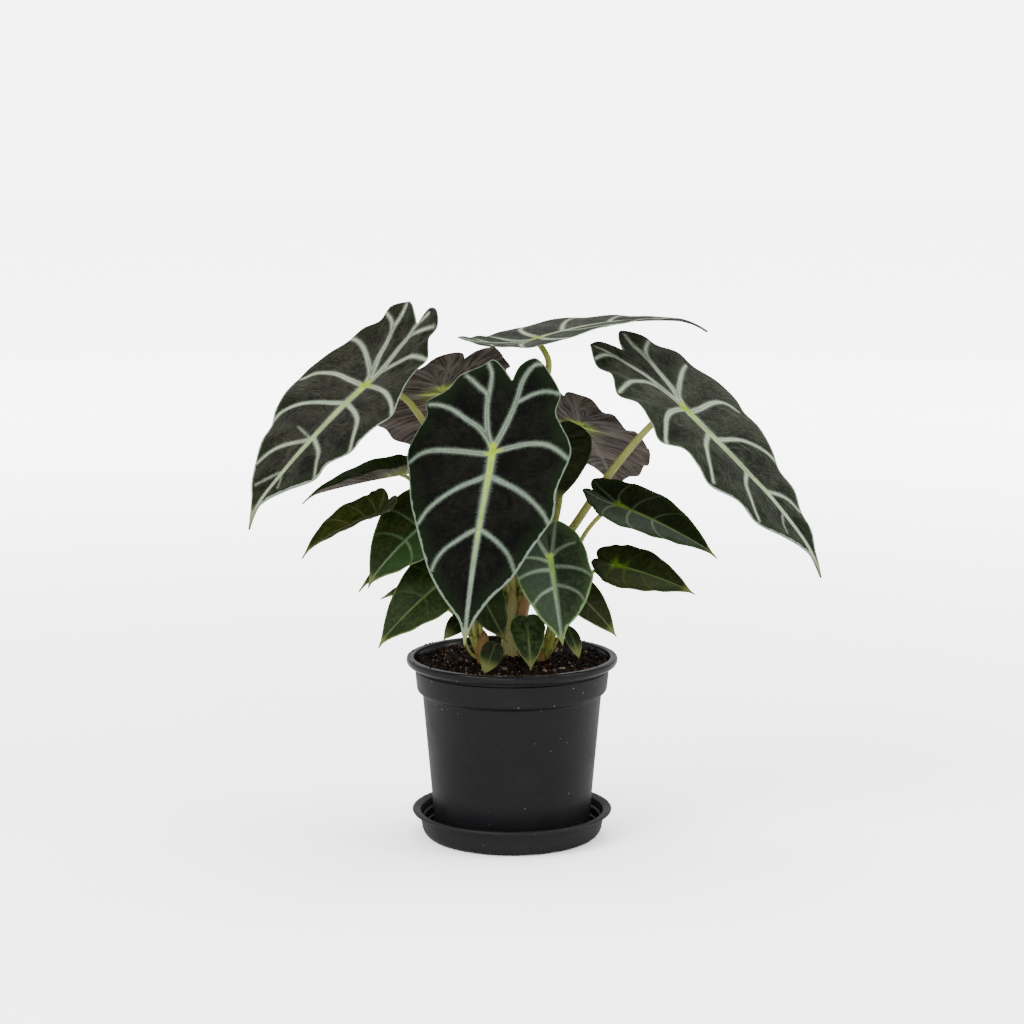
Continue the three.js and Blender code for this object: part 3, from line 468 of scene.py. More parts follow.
RIGHT_FAR_MARGIN = own_margin([
    (0.95, 0.06, 0), (0.88, 0.14, 0), (0.79, 0.29, 0.4), (0.69, 0.42, -0.6),
    (0.58, 0.545, 0.6), (0.45, 0.68, -0.8), (0.34, 0.8, 0.6), (0.2, 0.95, 1.0), (0.06, 1.14, -1.0),
    (-0.03, 1.175, 0.2), (-0.13, 1.09, 0.9), (-0.24, 1.01, -0.9), (-0.305, 0.82, 0.8),
    (-0.37, 0.65, -0.7), (-0.42, 0.49, 0.5), (-0.475, 0.34, -0.5), (-0.47, 0.2, 0),
    (-0.42, 0.08, 0),
])
RIGHT_NEAR_MARGIN = own_margin([
    (0.93, 0.02, 0), (0.87, 0.08, 0), (0.77, 0.39, 0.4), (0.64, 0.67, -0.6),
    (0.51, 0.765, 0.6), (0.37, 0.935, -0.8), (0.27, 0.92, 0.6), (0.17, 0.9, 1.0),
    (0.065, 1.035, -1.0), (-0.02, 0.94, 0.2), (-0.12, 0.83, 0.9), (-0.205, 0.86, -0.9),
    (-0.285, 0.69, 0.8), (-0.355, 0.65, -0.7), (-0.44, 0.47, 0.5), (-0.46, 0.36, -0.4),
    (-0.455, 0.22, 0), (-0.42, 0.1, 0),
])
TOP_NEAR_MARGIN = own_margin([
    (0.93, 0.035, 0), (0.86, 0.1, 0), (0.755, 0.25, 0.4), (0.64, 0.43, -0.4),
    (0.53, 0.56, 0.4), (0.4, 0.69, -0.4), (0.3, 0.77, 0.4), (0.2, 0.83, 0.4), (0.09, 0.88, -0.4),
    (-0.01, 0.89, 0.2), (-0.105, 0.88, 0.4), (-0.19, 0.84, -0.4), (-0.275, 0.71, 0.4),
    (-0.345, 0.6, -0.4), (-0.41, 0.45, 0.3), (-0.465, 0.29, -0.3), (-0.445, 0.115, 0),
    (-0.405, 0.035, 0),
])
YOUNG_FRONT_MARGIN = own_margin([
    (0.93, 0.045, 0), (0.855, 0.11, 0), (0.785, 0.21, 0.2), (0.71, 0.42, -0.4),
    (0.64, 0.575, 0.2), (0.545, 0.74, -0.4), (0.46, 0.85, 0.2), (0.38, 0.93, 0.2), (0.27, 1.03, -0.4),
    (0.19, 0.995, 0.2), (0.11, 0.965, 0.4), (0.03, 0.965, -0.4), (-0.06, 0.93, 0.2),
    (-0.16, 0.87, -0.4), (-0.26, 0.78, 0.2), (-0.36, 0.6, -0.2), (-0.45, 0.33, 0), (-0.42, 0.1, 0),
])
EGG_MARGIN = own_margin([
    (0.95, 0.1, 0), (0.89, 0.24, 0), (0.82, 0.4, 0), (0.74, 0.57, 0), (0.66, 0.71, 0),
    (0.58, 0.82, 0), (0.5, 0.91, 0), (0.42, 0.97, 0), (0.34, 1.0, 0), (0.26, 1.0, 0), (0.18, 0.97, 0),
    (0.1, 0.9, 0), (0.03, 0.81, 0), (-0.1, 0.69, 0), (-0.23, 0.56, 0), (-0.34, 0.42, 0),
    (-0.42, 0.27, 0), (-0.42, 0.12, 0),
])
LOBE_SHARE = 0.465
TIP_HOOK_START = 0.8
KEEL = 0.06


def leaf(name, size, crown, junction, tip, facing, half_width, lobe, stalk, radii, **bends):
    """One leaf's values. junction is where the stalk meets the blade, facing is the azimuth and the
    elevation of the upper face, and bends name how the blade departs from a flat one."""
    bent = dict(arch=0, fold=0, cup=0, wave=0, hook=0, lobe_drop=0, twist=0, scallop=1, bend=0,
                skew=0, rake=0, spread=0, right_margin=MARGIN, left_margin=MARGIN)
    bent.update(bends)
    return dict(name=name, size=size, crown=crown, junction=junction, tip=tip, facing=facing,
                half_width=half_width, lobe=lobe, stalk=stalk, radii=radii, **bent)


# %% The leaves
LEAVES = [
    leaf("left_large", "large", "main", (-80.5, -10, 259.5), (-143.5, -50, 183.5), (-41, 42), 45, 58,
         [(-2.8, 8, 140), (-20, 9, 185), (-38, 7, 219), (-49.5, 5, 237), (-62, 2, 252)], (2.7, 1.6),
         arch=7.5, fold=5, cup=-1, wave=1.8, hook=5, lobe_drop=-4, rake=6, skew=-0.08,
         right_margin=LEFT_NEAR_MARGIN, left_margin=LEFT_FAR_MARGIN),
    leaf("front_large", "large", "main", (-10.5, -38, 226.5), (-26, -58, 120), (-14, 13), 47, 50,
         [(0.1, 3, 140), (-5, -5, 180), (-9, -20, 213)], (2.7, 1.7),
         arch=5, cup=-2, wave=1.5, hook=1, lobe_drop=2, bend=-2.4, skew=0.07, rake=-1,
         right_margin=FRONT_RIGHT_MARGIN, left_margin=FRONT_LEFT_MARGIN),
    leaf("top_large", "large", "main", (13.5, 6, 283.5), (113, 44, 284.5), (5, 89), 39, 43,
         [(3, 8, 142), (2, 5.5, 190), (7, -1, 228), (16.5, -3, 254), (20.5, 0, 271)], (2.6, 1.6),
         arch=5.5, fold=5, cup=-1, wave=0.8, hook=5.5, lobe_drop=-1, twist=-4,
         left_margin=TOP_NEAR_MARGIN),
    leaf("right_large", "large", "main", (95.5, -6, 246.5), (169.5, -47, 156.5), (50, 42), 42, 62,
         [(8.8, 8, 140), (34.5, 6, 176.5), (56, 5, 208.5), (79.5, 3, 236.5)], (2.7, 1.7),
         arch=5.5, fold=5, cup=-2, wave=1.8, hook=4, lobe_drop=13, rake=7, spread=0.35, bend=-2,
         right_margin=RIGHT_FAR_MARGIN, left_margin=RIGHT_NEAR_MARGIN),
    leaf("back_left", "large", "main", (-40, 26, 252), (-47.5, 84, 203.5), (-160, 41), 40, 41,
         [(0.1, 13, 140), (-13, 18, 190), (-31, 18, 236)], (2.7, 1.7),
         arch=3, fold=4, wave=1.5, lobe_drop=2, bend=4),
    leaf("back_right", "large", "main", (39.5, 32, 232), (64, 100, 183.5), (136, 56), 42, 45,
         [(5.9, 13, 140), (16, 19, 188), (31, 25, 220)], (2.7, 1.7),
         arch=3, wave=2),
    leaf("inner_right", "medium", "main", (25.5, 10, 226), (25, 2, 190), (10, 20), 20, 11,
         [(5.9, 3, 140), (20, 5, 168), (26.5, 8, 190), (28, 13, 213)], (2.5, 1.4),
         arch=2, fold=3, wave=0.5, scallop=0),
    leaf("left_narrow", "medium", "left", (-62, 2, 207.5), (-118, -6, 191.5), (0, 84), 17, 13,
         [(-17.3, -2, 117), (-27, 9, 156), (-42, 13, 188), (-57, 9, 203)], (1.5, 1.1),
         arch=1, fold=32, wave=0.5, scallop=0.3, hook=4),
    leaf("left_curled", "medium", "left", (-76.5, -9, 186.5), (-116.5, -31, 164.5), (-45, 50), 16, 13,
         [(-21, -2.2, 117), (-36, 15, 150), (-54, 20, 174), (-74, 6, 188)], (1.4, 1.1),
         arch=2, fold=24, wave=0.5, scallop=0.3, hook=3, lobe_drop=-6, spread=0.5),
    leaf("left_middle", "medium", "left", (-47, -12, 183), (-80.5, -22, 146.5), (-30, 35), 26, 24,
         [(-19.6, -5.8, 117), (-26, -3, 146), (-30, -2, 163), (-37, -4, 175)], (1.5, 1.1),
         arch=3, fold=10, wave=0.5, scallop=0.3, hook=2),
    leaf("left_under", "medium", "left", (-46.5, 5, 159.5), (-87, -1, 140.5), (-10, 80), 18, 14,
         [(-23.6, -4.2, 117), (-30, 2, 136), (-40, 5, 150)], (1.3, 1),
         arch=1, fold=30, wave=0.5, scallop=0.3, hook=3),
    leaf("left_low", "medium", "left", (-34.5, -24, 154), (-74.5, -34, 114.5), (-25, 35), 22, 18,
         [(-20.6, -9.4, 117), (-23, -10, 130), (-33, -12, 146)], (1.4, 1.1),
         arch=3, fold=8, wave=0.5, scallop=0.3, hook=2),
    leaf("left_hidden", "small", "left", (-52.5, 6, 140.5), (-75, 6, 135.5), (-20, 80), 10, 8,
         [(-20.4, -2, 109), (-30, 3, 124), (-42, 6, 134)], (1, 0.9),
         arch=1, fold=20, scallop=0),
    leaf("left_tiny", "small", "left", (-29, -6, 124.5), (-39, -10, 114.5), (-20, 30), 6.5, 5,
         [(-23.6, -7, 107), (-27, -6, 115)], (0.9, 0.8),
         arch=1, fold=6, scallop=0),
    leaf("front_lower", "small", "left", (-19, -16, 145.5), (-2.5, -20, 114.5), (-10, 25), 13, 10,
         [(-16.8, -9.8, 115), (-18.5, -11.5, 131)], (1.2, 0.9),
         arch=2, fold=6, scallop=0.6),
    leaf("front_tiny", "small", "left", (-9.5, -40, 118), (-15.5, -45, 102.5), (10, 20), 6.5, 2,
         [(-13.5, -11.6, 108), (-12, -24, 115)], (0.9, 0.8),
         arch=1, fold=6, right_margin=EGG_MARGIN, left_margin=EGG_MARGIN),
    leaf("right_medium", "medium", "right", (60, -14, 192), (113.5, -36, 165.5), (20, 54), 20, 22,
         [(19.6, -1, 114), (28, -3, 144), (39.5, -5, 172), (51, -9, 187)], (1.5, 1.2),
         arch=2, fold=12, wave=0.5, scallop=0.2, hook=2, lobe_drop=-2, rake=5),
    leaf("right_small", "medium", "right", (58.5, -16, 158.5), (102, -28, 144), (5, 48), 16, 14,
         [(22.4, -3.6, 112), (30, -8, 136), (45, -13, 154)], (1.3, 1),
         arch=2, fold=7, wave=0.5, scallop=0, hook=1, lobe_drop=-1, rake=4),
    leaf("front_medium", "medium", "right", (21, -34, 166.5), (28, -46, 118), (5, 22), 21.5, 20,
         [(17, -4.4, 114), (18, -13, 142), (20.5, -25, 160)], (1.4, 1.1),
         arch=3, fold=4, wave=0.5, scallop=0.2, right_margin=YOUNG_FRONT_MARGIN),
    leaf("right_low", "small", "right", (35, -22, 144.5), (58.5, -26, 119.5), (25, 35), 12.5, 10,
         [(20.6, -6.6, 110), (26, -13, 130)], (1.1, 0.9),
         arch=2, fold=6, scallop=0),
    leaf("right_tiny", "small", "right", (32, -22, 122.5), (37.5, -28, 107.5), (20, 20), 4.5, 3,
         [(22.4, -8.4, 108), (27, -15, 118)], (0.9, 0.8),
         arch=1, fold=6, right_margin=EGG_MARGIN, left_margin=EGG_MARGIN),
    leaf("front_heart", "small", "right", (8.5, -28, 126.5), (10.5, -37, 102), (5, 20), 10, 6.5,
         [(14, -6, 107), (10, -16, 120)], (1.1, 0.9),
         arch=2, fold=4, scallop=0.6, spread=0.3),
]
print("leaves:", len(LEAVES))


# %% [markdown]
# ## Bending a leaf
#
# No blade lies flat. It arches and folds along its midrib, dishes, twists, and waves at its margin.
# Sculpting each leaf would catch that too. Here a formula with a few numbers for each leaf does it,
# so that a vein bends with the blade on which it lies.

# %% From the flat outline to the place in space
def unit(vector):
    """Vectors divided by their lengths."""
    return vector / np.linalg.norm(vector, axis=-1, keepdims=True)


def leaf_axes(values):
    """Where a leaf's stalk meets it, and its directions: along, across, out of the face, and length."""
    junction = np.array(values["junction"], float)
    along = np.array(values["tip"], float) - junction
    length = np.linalg.norm(along)
    along = along / length
    azimuth, elevation = np.radians(values["facing"])
    up = np.array([
        np.sin(azimuth) * np.cos(elevation), -np.cos(azimuth) * np.cos(elevation), np.sin(elevation),
    ])
    up = unit(up - up.dot(along) * along)
    return junction, along, np.cross(up, along), up, length


def bend_leaf(values, axes, x, y, lift):
    """The place in space of flat leaf points, x in front of the stalk and y beside the midrib.

    The midrib is a parabola with a hook at its tip and a drop at its lobes. The halves rise from it
    by the fold, bend by the square of the distance out, and wave at the margin.
    """
    junction, along, across, up, length = axes
    share = x / length
    ahead = np.maximum(share, 0)
    behind = np.maximum(-x / values["lobe"], 0)
    slope = (4 * values["arch"] + values["hook"]) / length
    hooked = np.maximum((ahead - TIP_HOOK_START) / (1 - TIP_HOOK_START), 0)
    height = slope * x - 4 * values["arch"] * ahead**2 - values["hook"] * hooked**2
    height += (slope * values["lobe"] - values["lobe_drop"]) * behind**2
    fold = math.radians(values["fold"])
    soft = KEEL * values["half_width"]
    out = np.abs(y) / values["half_width"]
    rise = (np.hypot(y, soft) - soft) * math.sin(fold) + values["cup"] * out**2 + values["wave"] * lift
    flat = y * math.cos(fold)
    twist = np.radians(values["twist"]) * share
    side = flat * np.cos(twist) - rise * np.sin(twist)
    lifted = flat * np.sin(twist) + rise * np.cos(twist)
    forward = x - values["skew"] * side + values["rake"] * out**2
    sideways = side * (1 + values["spread"] * behind**2) + 4 * values["bend"] * share * (1 - share)
    return (junction + forward[..., None] * along + sideways[..., None] * across
            + (height + lifted)[..., None] * up)


# %% [markdown]
# ## The veins
#
# A thick midrib runs from the stalk to the tip. Ribs leave it to the lobes and to the corners of the
# scalloped margin, and bend towards the tip as they go. They could be painted as a texture, but the
# margin and the veins of every leaf have other sizes. So each vein is a curve in the same shares of
# length and width as the outline. Every point of the mesh then stores how far it is from the edge of
# the nearest vein and where along it, in millimetres, and the material turns those numbers into pale
# veins with hairy edges, which stay sharp however close the camera comes.

# %% Courses of the veins
# The points that each vein passes: shares of the length and of the half width.
COMMON_VEINS = {
    "lobe_rib": [(0, 0), (-0.09, 0.06), (-0.2, 0.12), (-0.3, 0.17), (-0.38, 0.22), (-0.44, 0.29)],
    "lobe_fork": [(-0.27, 0.155), (-0.31, 0.25), (-0.345, 0.38), (-0.375, 0.56)],
    "shoulder": [(-0.04, 0.03), (-0.12, 0.2), (-0.165, 0.42), (-0.2, 0.65), (-0.21, 0.86)],
    "lateral_1": [(0.015, 0), (0.01, 0.2), (0, 0.45), (0.01, 0.7), (0.045, 0.86), (0.1, 0.97)],
    "lateral_2": [(0.15, 0), (0.17, 0.15), (0.21, 0.38), (0.26, 0.57), (0.33, 0.72), (0.4, 0.8)],
    "lateral_3": [(0.42, 0), (0.45, 0.16), (0.5, 0.33), (0.56, 0.45), (0.63, 0.52)],
    "lateral_4": [(0.66, 0), (0.69, 0.1), (0.73, 0.18), (0.76, 0.23)],
}
# The four leaves that face the camera have courses of their own, right and left.
FRONT_RIGHT_VEINS = {
    "lobe_rib": [(0, 0), (-0.09, 0.055), (-0.19, 0.1), (-0.27, 0.12), (-0.35, 0.12), (-0.41, 0.155),
                 (-0.45, 0.215), (-0.455, 0.29)],
    "lobe_fork": [(-0.25, 0.12), (-0.275, 0.21), (-0.3, 0.31), (-0.315, 0.45), (-0.305, 0.6)],
    "lateral_1": [(0.015, 0.01), (-0.01, 0.17), (-0.037, 0.39), (-0.037, 0.6), (-0.01, 0.76),
                  (0.035, 0.91)],
    "lateral_2": [(0.135, 0.03), (0.163, 0.21), (0.2, 0.41), (0.25, 0.6), (0.31, 0.76), (0.37, 0.86)],
    "lateral_3": [(0.405, 0.05), (0.437, 0.19), (0.48, 0.33), (0.535, 0.455), (0.61, 0.54)],
}
FRONT_LEFT_VEINS = {
    "lobe_rib": [(0, 0), (-0.07, -0.1), (-0.155, -0.17), (-0.24, -0.22), (-0.335, -0.24),
                 (-0.4, -0.27), (-0.445, -0.34)],
    "lobe_fork": [(-0.25, -0.22), (-0.29, -0.26), (-0.32, -0.365), (-0.355, -0.48), (-0.375, -0.56)],
    "shoulder": [(-0.03, -0.04), (-0.105, -0.22), (-0.146, -0.4), (-0.195, -0.62), (-0.212, -0.79),
                 (-0.21, -0.91)],
    "lateral_1": [(0.024, 0), (0.024, -0.11), (0.02, -0.42), (0.025, -0.69), (0.05, -0.86),
                  (0.1, -0.97)],
    "lateral_2": [(0.135, 0.02), (0.16, -0.09), (0.2, -0.275), (0.26, -0.455), (0.33, -0.605),
                  (0.405, -0.7)],
    "lateral_3": [(0.405, 0.05), (0.426, -0.05), (0.47, -0.185), (0.52, -0.32), (0.58, -0.41),
                  (0.63, -0.45)],
}
LEFT_FAR_VEINS = {
    "lobe_rib": [(0, -0.02), (-0.09, -0.16), (-0.165, -0.265), (-0.25, -0.31), (-0.31, -0.34),
                 (-0.37, -0.33), (-0.43, -0.335)],
    "lobe_fork": [(-0.3, -0.34), (-0.337, -0.43), (-0.365, -0.58)],
    "shoulder": [(-0.03, -0.06), (-0.055, -0.12), (-0.126, -0.39), (-0.177, -0.61), (-0.206, -0.81),
                 (-0.21, -0.93)],
    "lateral_1": [(0.02, 0), (0.023, -0.28), (0.02, -0.52), (0.032, -0.7), (0.055, -0.86),
                  (0.105, -0.99)],
    "lateral_2": [(0.16, 0.06), (0.2, -0.14), (0.236, -0.35), (0.287, -0.525), (0.36, -0.645),
                  (0.44, -0.7)],
    "lateral_3": [(0.44, 0.12), (0.48, -0.035), (0.54, -0.21), (0.607, -0.33), (0.69, -0.42)],
    "lateral_4": [(0.66, 0.1), (0.7, 0.0), (0.74, -0.08), (0.79, -0.17)],
    "spur": [(0.44, 0.1), (0.43, 0.0), (0.42, -0.12), (0.41, -0.24)],
}
LEFT_NEAR_VEINS = {
    "lobe_rib": [(0, 0), (-0.09, -0.03), (-0.14, -0.05), (-0.23, -0.06), (-0.3, -0.02), (-0.36, 0.0),
                 (-0.43, 0.14)],
    "lobe_fork": [(-0.31, -0.02), (-0.35, 0.14), (-0.39, 0.32)],
    "shoulder": [(-0.08, -0.03), (-0.14, 0.055), (-0.185, 0.15), (-0.225, 0.27), (-0.25, 0.5),
                 (-0.25, 0.7)],
    "lateral_1": [(0.01, 0.03), (0, 0.14), (-0.006, 0.3), (-0.005, 0.47), (0.015, 0.67), (0.06, 0.84)],
    "lateral_2": [(0.16, 0.06), (0.168, 0.15), (0.185, 0.36), (0.22, 0.56), (0.29, 0.73), (0.36, 0.85)],
    "lateral_3": [(0.42, 0.12), (0.435, 0.2), (0.475, 0.43), (0.53, 0.57), (0.585, 0.675)],
    "lateral_4": [(0.68, 0.1), (0.71, 0.17), (0.75, 0.22)],
}
RIGHT_FAR_VEINS = {
    "lobe_rib": [(0, 0.01), (-0.1, 0.15), (-0.2, 0.21), (-0.3, 0.245), (-0.38, 0.235), (-0.45, 0.26)],
    "lobe_fork": [(-0.29, 0.24), (-0.34, 0.34), (-0.385, 0.51)],
    "shoulder": [(-0.03, 0.05), (-0.06, 0.12), (-0.12, 0.36), (-0.19, 0.64), (-0.23, 0.83)],
    "lateral_1": [(0.04, -0.02), (0.04, 0.25), (0.02, 0.6), (0.025, 0.8), (0.07, 0.97)],
    "lateral_2": [(0.225, -0.02), (0.235, 0.1), (0.262, 0.38), (0.316, 0.56), (0.38, 0.67),
                  (0.44, 0.73)],
    "lateral_3": [(0.545, 0.03), (0.555, 0.07), (0.588, 0.22), (0.63, 0.32), (0.69, 0.37)],
}
RIGHT_NEAR_VEINS = {
    "lobe_rib": [(0, 0), (-0.085, -0.02), (-0.2, -0.065), (-0.3, -0.19), (-0.375, -0.265),
                 (-0.435, -0.36)],
    "lobe_fork": [(-0.34, -0.235), (-0.353, -0.26), (-0.379, -0.4), (-0.387, -0.56)],
    "shoulder": [(-0.09, -0.025), (-0.143, -0.09), (-0.185, -0.23), (-0.211, -0.5), (-0.21, -0.8)],
    "lateral_1": [(0.015, -0.01), (0, -0.31), (0.01, -0.57), (0.048, -0.79), (0.09, -0.97)],
    "lateral_2": [(0.165, -0.02), (0.18, -0.08), (0.225, -0.36), (0.29, -0.62), (0.37, -0.83)],
    "lateral_3": [(0.42, -0.02), (0.432, -0.065), (0.48, -0.29), (0.563, -0.485), (0.635, -0.58)],
    "lateral_4": [(0.67, 0), (0.71, -0.155), (0.757, -0.24)],
}
YOUNG_VEINS = {
    "lobe_rib": [(0, 0), (-0.1, 0.09), (-0.22, 0.17), (-0.33, 0.21), (-0.43, 0.27)],
    "shoulder": [(-0.02, 0.03), (-0.08, 0.25), (-0.115, 0.5), (-0.13, 0.75), (-0.11, 0.93)],
    "lateral_1": [(0.12, 0), (0.12, 0.25), (0.13, 0.5), (0.16, 0.76), (0.22, 0.95)],
    "lateral_2": [(0.33, 0), (0.35, 0.2), (0.39, 0.4), (0.45, 0.58), (0.53, 0.66)],
}
FRONT_MEDIUM_RIGHT_VEINS = {
    "lobe_rib": [(0, 0.04), (-0.1, 0.1), (-0.26, 0.18), (-0.36, 0.23), (-0.43, 0.27)],
    "shoulder": [(-0.03, 0.12), (-0.07, 0.22), (-0.105, 0.38), (-0.13, 0.55), (-0.137, 0.7)],
    "lateral_1": [(0.115, 0.05), (0.125, 0.25), (0.15, 0.5), (0.2, 0.78), (0.28, 1.0)],
    "lateral_2": [(0.32, 0.04), (0.335, 0.15), (0.375, 0.38), (0.45, 0.6), (0.56, 0.73)],
}
FRONT_MEDIUM_LEFT_VEINS = {
    "lobe_rib": [(0, -0.05), (-0.1, -0.14), (-0.22, -0.24), (-0.33, -0.3), (-0.43, -0.33)],
    "shoulder": [(0.05, -0.08), (0.03, -0.18), (0.0, -0.35), (-0.02, -0.55), (-0.03, -0.8)],
    "lateral_1": [(0.15, -0.04), (0.14, -0.3), (0.155, -0.6), (0.2, -0.9)],
    "lateral_2": [(0.35, -0.06), (0.37, -0.2), (0.41, -0.4), (0.5, -0.62)],
}
STRAIGHT_MIDRIB = [(0, 0), (0.2, 0), (0.5, 0), (0.8, 0), (1, 0)]
OWN_VEINS = {
    "front_large": (FRONT_RIGHT_VEINS, FRONT_LEFT_VEINS,
                    [(0, 0), (0.135, 0.034), (0.4, 0.05), (0.7, 0.04), (0.87, 0.02), (1, 0)]),
    "left_large": (LEFT_NEAR_VEINS, LEFT_FAR_VEINS,
                   [(0, 0), (0.15, 0.055), (0.4, 0.115), (0.65, 0.1), (0.8, 0.06), (0.92, 0.01), (1, 0)]),
    "right_large": (RIGHT_FAR_VEINS, RIGHT_NEAR_VEINS,
                    [(0, 0), (0.12, -0.035), (0.3, -0.03), (0.45, -0.01), (0.56, 0.025), (0.8, 0.03),
                     (1, 0)]),
    "front_medium": (FRONT_MEDIUM_RIGHT_VEINS, FRONT_MEDIUM_LEFT_VEINS, STRAIGHT_MIDRIB),
}
# Half the breadth of each vein at its start and at its end, for a leaf that is 90 mm wide.
VEIN_HALF = {
    "lobe_rib": (1.5, 0.55), "lobe_fork": (0.95, 0.45), "shoulder": (1.2, 0.5),
    "lateral_1": (1.35, 0.6), "lateral_2": (1.2, 0.5), "lateral_3": (0.95, 0.4),
    "lateral_4": (0.15, 0.0), "spur": (0.35, 0.0),
}
MIDRIB_HALF = (1.9, 0.65)  # at the stalk and at the tip
# How much broader the veins of a leaf are than that.
VEIN_SWELL = {"left_large": 1.15, "right_large": 1.3, "front_medium": 1.5}
FULL_HALF_WIDTH = 45
VEIN_STEPS = 30
RUN_SHIFT = 61.0  # mm, so that no two veins have the same hairs
print("veins in half a mature leaf:", len(COMMON_VEINS), "and in a young one:", len(YOUNG_VEINS))


# %% Distance fields of the veins
def flat_course(values, length, shares):
    """A vein's points in shares, as a smooth course of flat points in mm."""
    smooth = curve_at(shares, np.linspace(0, 1, VEIN_STEPS))
    behind = values["lobe"] / LOBE_SHARE
    x = np.where(smooth[:, 0] > 0, smooth[:, 0] * length, smooth[:, 0] * behind)
    return np.stack([x, smooth[:, 1] * values["half_width"]], axis=1)


def leaf_veins(values):
    """Names and courses in shares of a leaf's veins on both sides, and of its midrib."""
    if values["name"] in OWN_VEINS:
        right, left, midrib = OWN_VEINS[values["name"]]
        return [*right.items(), *left.items()], midrib
    right = list((COMMON_VEINS if values["size"] == "large" else YOUNG_VEINS).items())
    left = [(name, [(x, -y) for x, y in course]) for name, course in right]
    return right + left, STRAIGHT_MIDRIB


def nearest_on(course, points):
    """For flat points: distance to a course of points, the signed side and the place along it."""
    a = course[:-1]
    ab = course[1:] - a
    lengths = np.linalg.norm(ab, axis=1)
    to_points = points[:, None, :] - a
    share = np.clip(np.einsum("psk,sk->ps", to_points, ab) / lengths**2, 0, 1)
    gap = to_points - share[..., None] * ab
    distance = np.linalg.norm(gap, axis=2)
    best = distance.argmin(axis=1)
    row = np.arange(len(points))
    side = np.sign(ab[best, 0] * gap[row, best, 1] - ab[best, 1] * gap[row, best, 0])
    run = np.concatenate([[0], np.cumsum(lengths)])[best] + share[row, best] * lengths[best]
    return distance[row, best], side, run, best + share[row, best]


def vein_fields(values, length, flat, margin):
    """The numbers that the leaf materials read at every point of the flat blade, all in mm.

    vein_edge and midrib_edge are distances outside the edge of the nearest vein, negative inside it.
    vein_side is the distance beside its middle line, vein_run and midrib_run the place along it, rim
    the distance from the margin and tip_gap that from the tip. between counts the veins from the
    notch round to the tip.
    """
    size = (values["half_width"] / FULL_HALF_WIDTH) ** 0.7 * VEIN_SWELL.get(values["name"], 1.0)
    edge = np.full(len(flat), 1e3)
    side = np.zeros(len(flat))
    run = np.zeros(len(flat))
    weights = np.zeros(len(flat))
    order = np.zeros(len(flat))
    courses, midrib_course = leaf_veins(values)
    ranks = list(VEIN_HALF)
    for number, (name, shares) in enumerate(courses):
        course = flat_course(values, length, shares)
        distance, beside, along, place = nearest_on(course, flat)
        start, end = VEIN_HALF[name]
        share = place / (VEIN_STEPS - 1)
        gap = distance - size * (start + (end - start) * share**0.8)
        closer = gap < edge
        edge = np.where(closer, gap, edge)
        side = np.where(closer, beside * distance, side)
        run = np.where(closer, along + RUN_SHIFT * number, run)
        same_half = (flat[:, 1] >= 0) == (course[-1, 1] > 0)
        near = np.where(same_half, 1 / (distance + 0.6)**2, 1e-9)
        weights += near
        order += near * ranks.index(name)
    midrib = flat_course(values, length, midrib_course)
    distance, beside, _, _ = nearest_on(midrib, flat)
    share = np.clip(flat[:, 0] / length, 0, 1)
    half = size * (MIDRIB_HALF[0] + (MIDRIB_HALF[1] - MIDRIB_HALF[0]) * share)
    rim = nearest_on(margin, flat)[0]
    return {
        "vein_edge": edge, "vein_side": side, "vein_run": run, "midrib_edge": distance - half,
        "midrib_run": flat[:, 0], "midrib_side": beside * distance, "rim": rim,
        "tip_gap": length - flat[:, 0], "between": order / weights,
    }


# %% [markdown]
# ## Leaf skins
#
# The blade is thick and stiff, about a millimetre. Each row of the mesh goes round the leaf once:
# over the upper face from one margin to the other and back under it, so the rim is round and the
# piece is closed. The upper face is quilted a little between the veins, and on the underside the
# ribs and their finer side veins stand out as pleats. Displacing the points does that better than a
# bump map alone, because the pleats also show in the outline of the leaf.

# %% Points of a leaf
LEAF_GRID = {"large": (11, 34, 0.9), "medium": (7, 22, 0.7), "small": (5, 14, 0.7)}
QUILT = 0.7  # mm of swelling between the veins of the upper face
RIB = 0.5  # mm by which ribs stand out of the underside
PLEAT = 0.3  # mm, half the height of the finer pleats of the underside
PLEATS = 2.5  # of them between a rib and the next


def leaf_grid(values, axes):
    """Flat points of a leaf and its middle sheet.

    Rows run along t from tip to notch and columns from one margin over the midrib to the other. The
    midrib point of a row is at 1 - (1 + notch) t^0.8 of the length, so that rows fan out of it.
    """
    per_span, rings, _ = LEAF_GRID[values["size"]]
    length = axes[-1]
    steps = (len(MARGIN) - 1) * per_span
    t = np.linspace(0, 1, steps + 1)[1:-1]
    s = np.linspace(-1, 1, 2 * rings + 1)
    out = np.abs(s) * (1.3 - 0.3 * s**2)
    left, right = (curve_at(values[key], t)[:, None] for key in ("left_margin", "right_margin"))
    rows = np.where(s[:, None] < 0, left, right)
    width = rows[..., 1] * values["scallop"] + rows[..., 2] * (1 - values["scallop"])
    middle = (1 - (1 + NOTCH_SHARE) * t**0.8)[:, None]
    share = middle + out * (rows[..., 0] - middle)
    behind = values["lobe"] / LOBE_SHARE
    x = np.where(share > 0, share * length, share * behind)
    y = np.sign(s) * out * width * values["half_width"]
    return x, y, rows[..., 3] * out**2, out


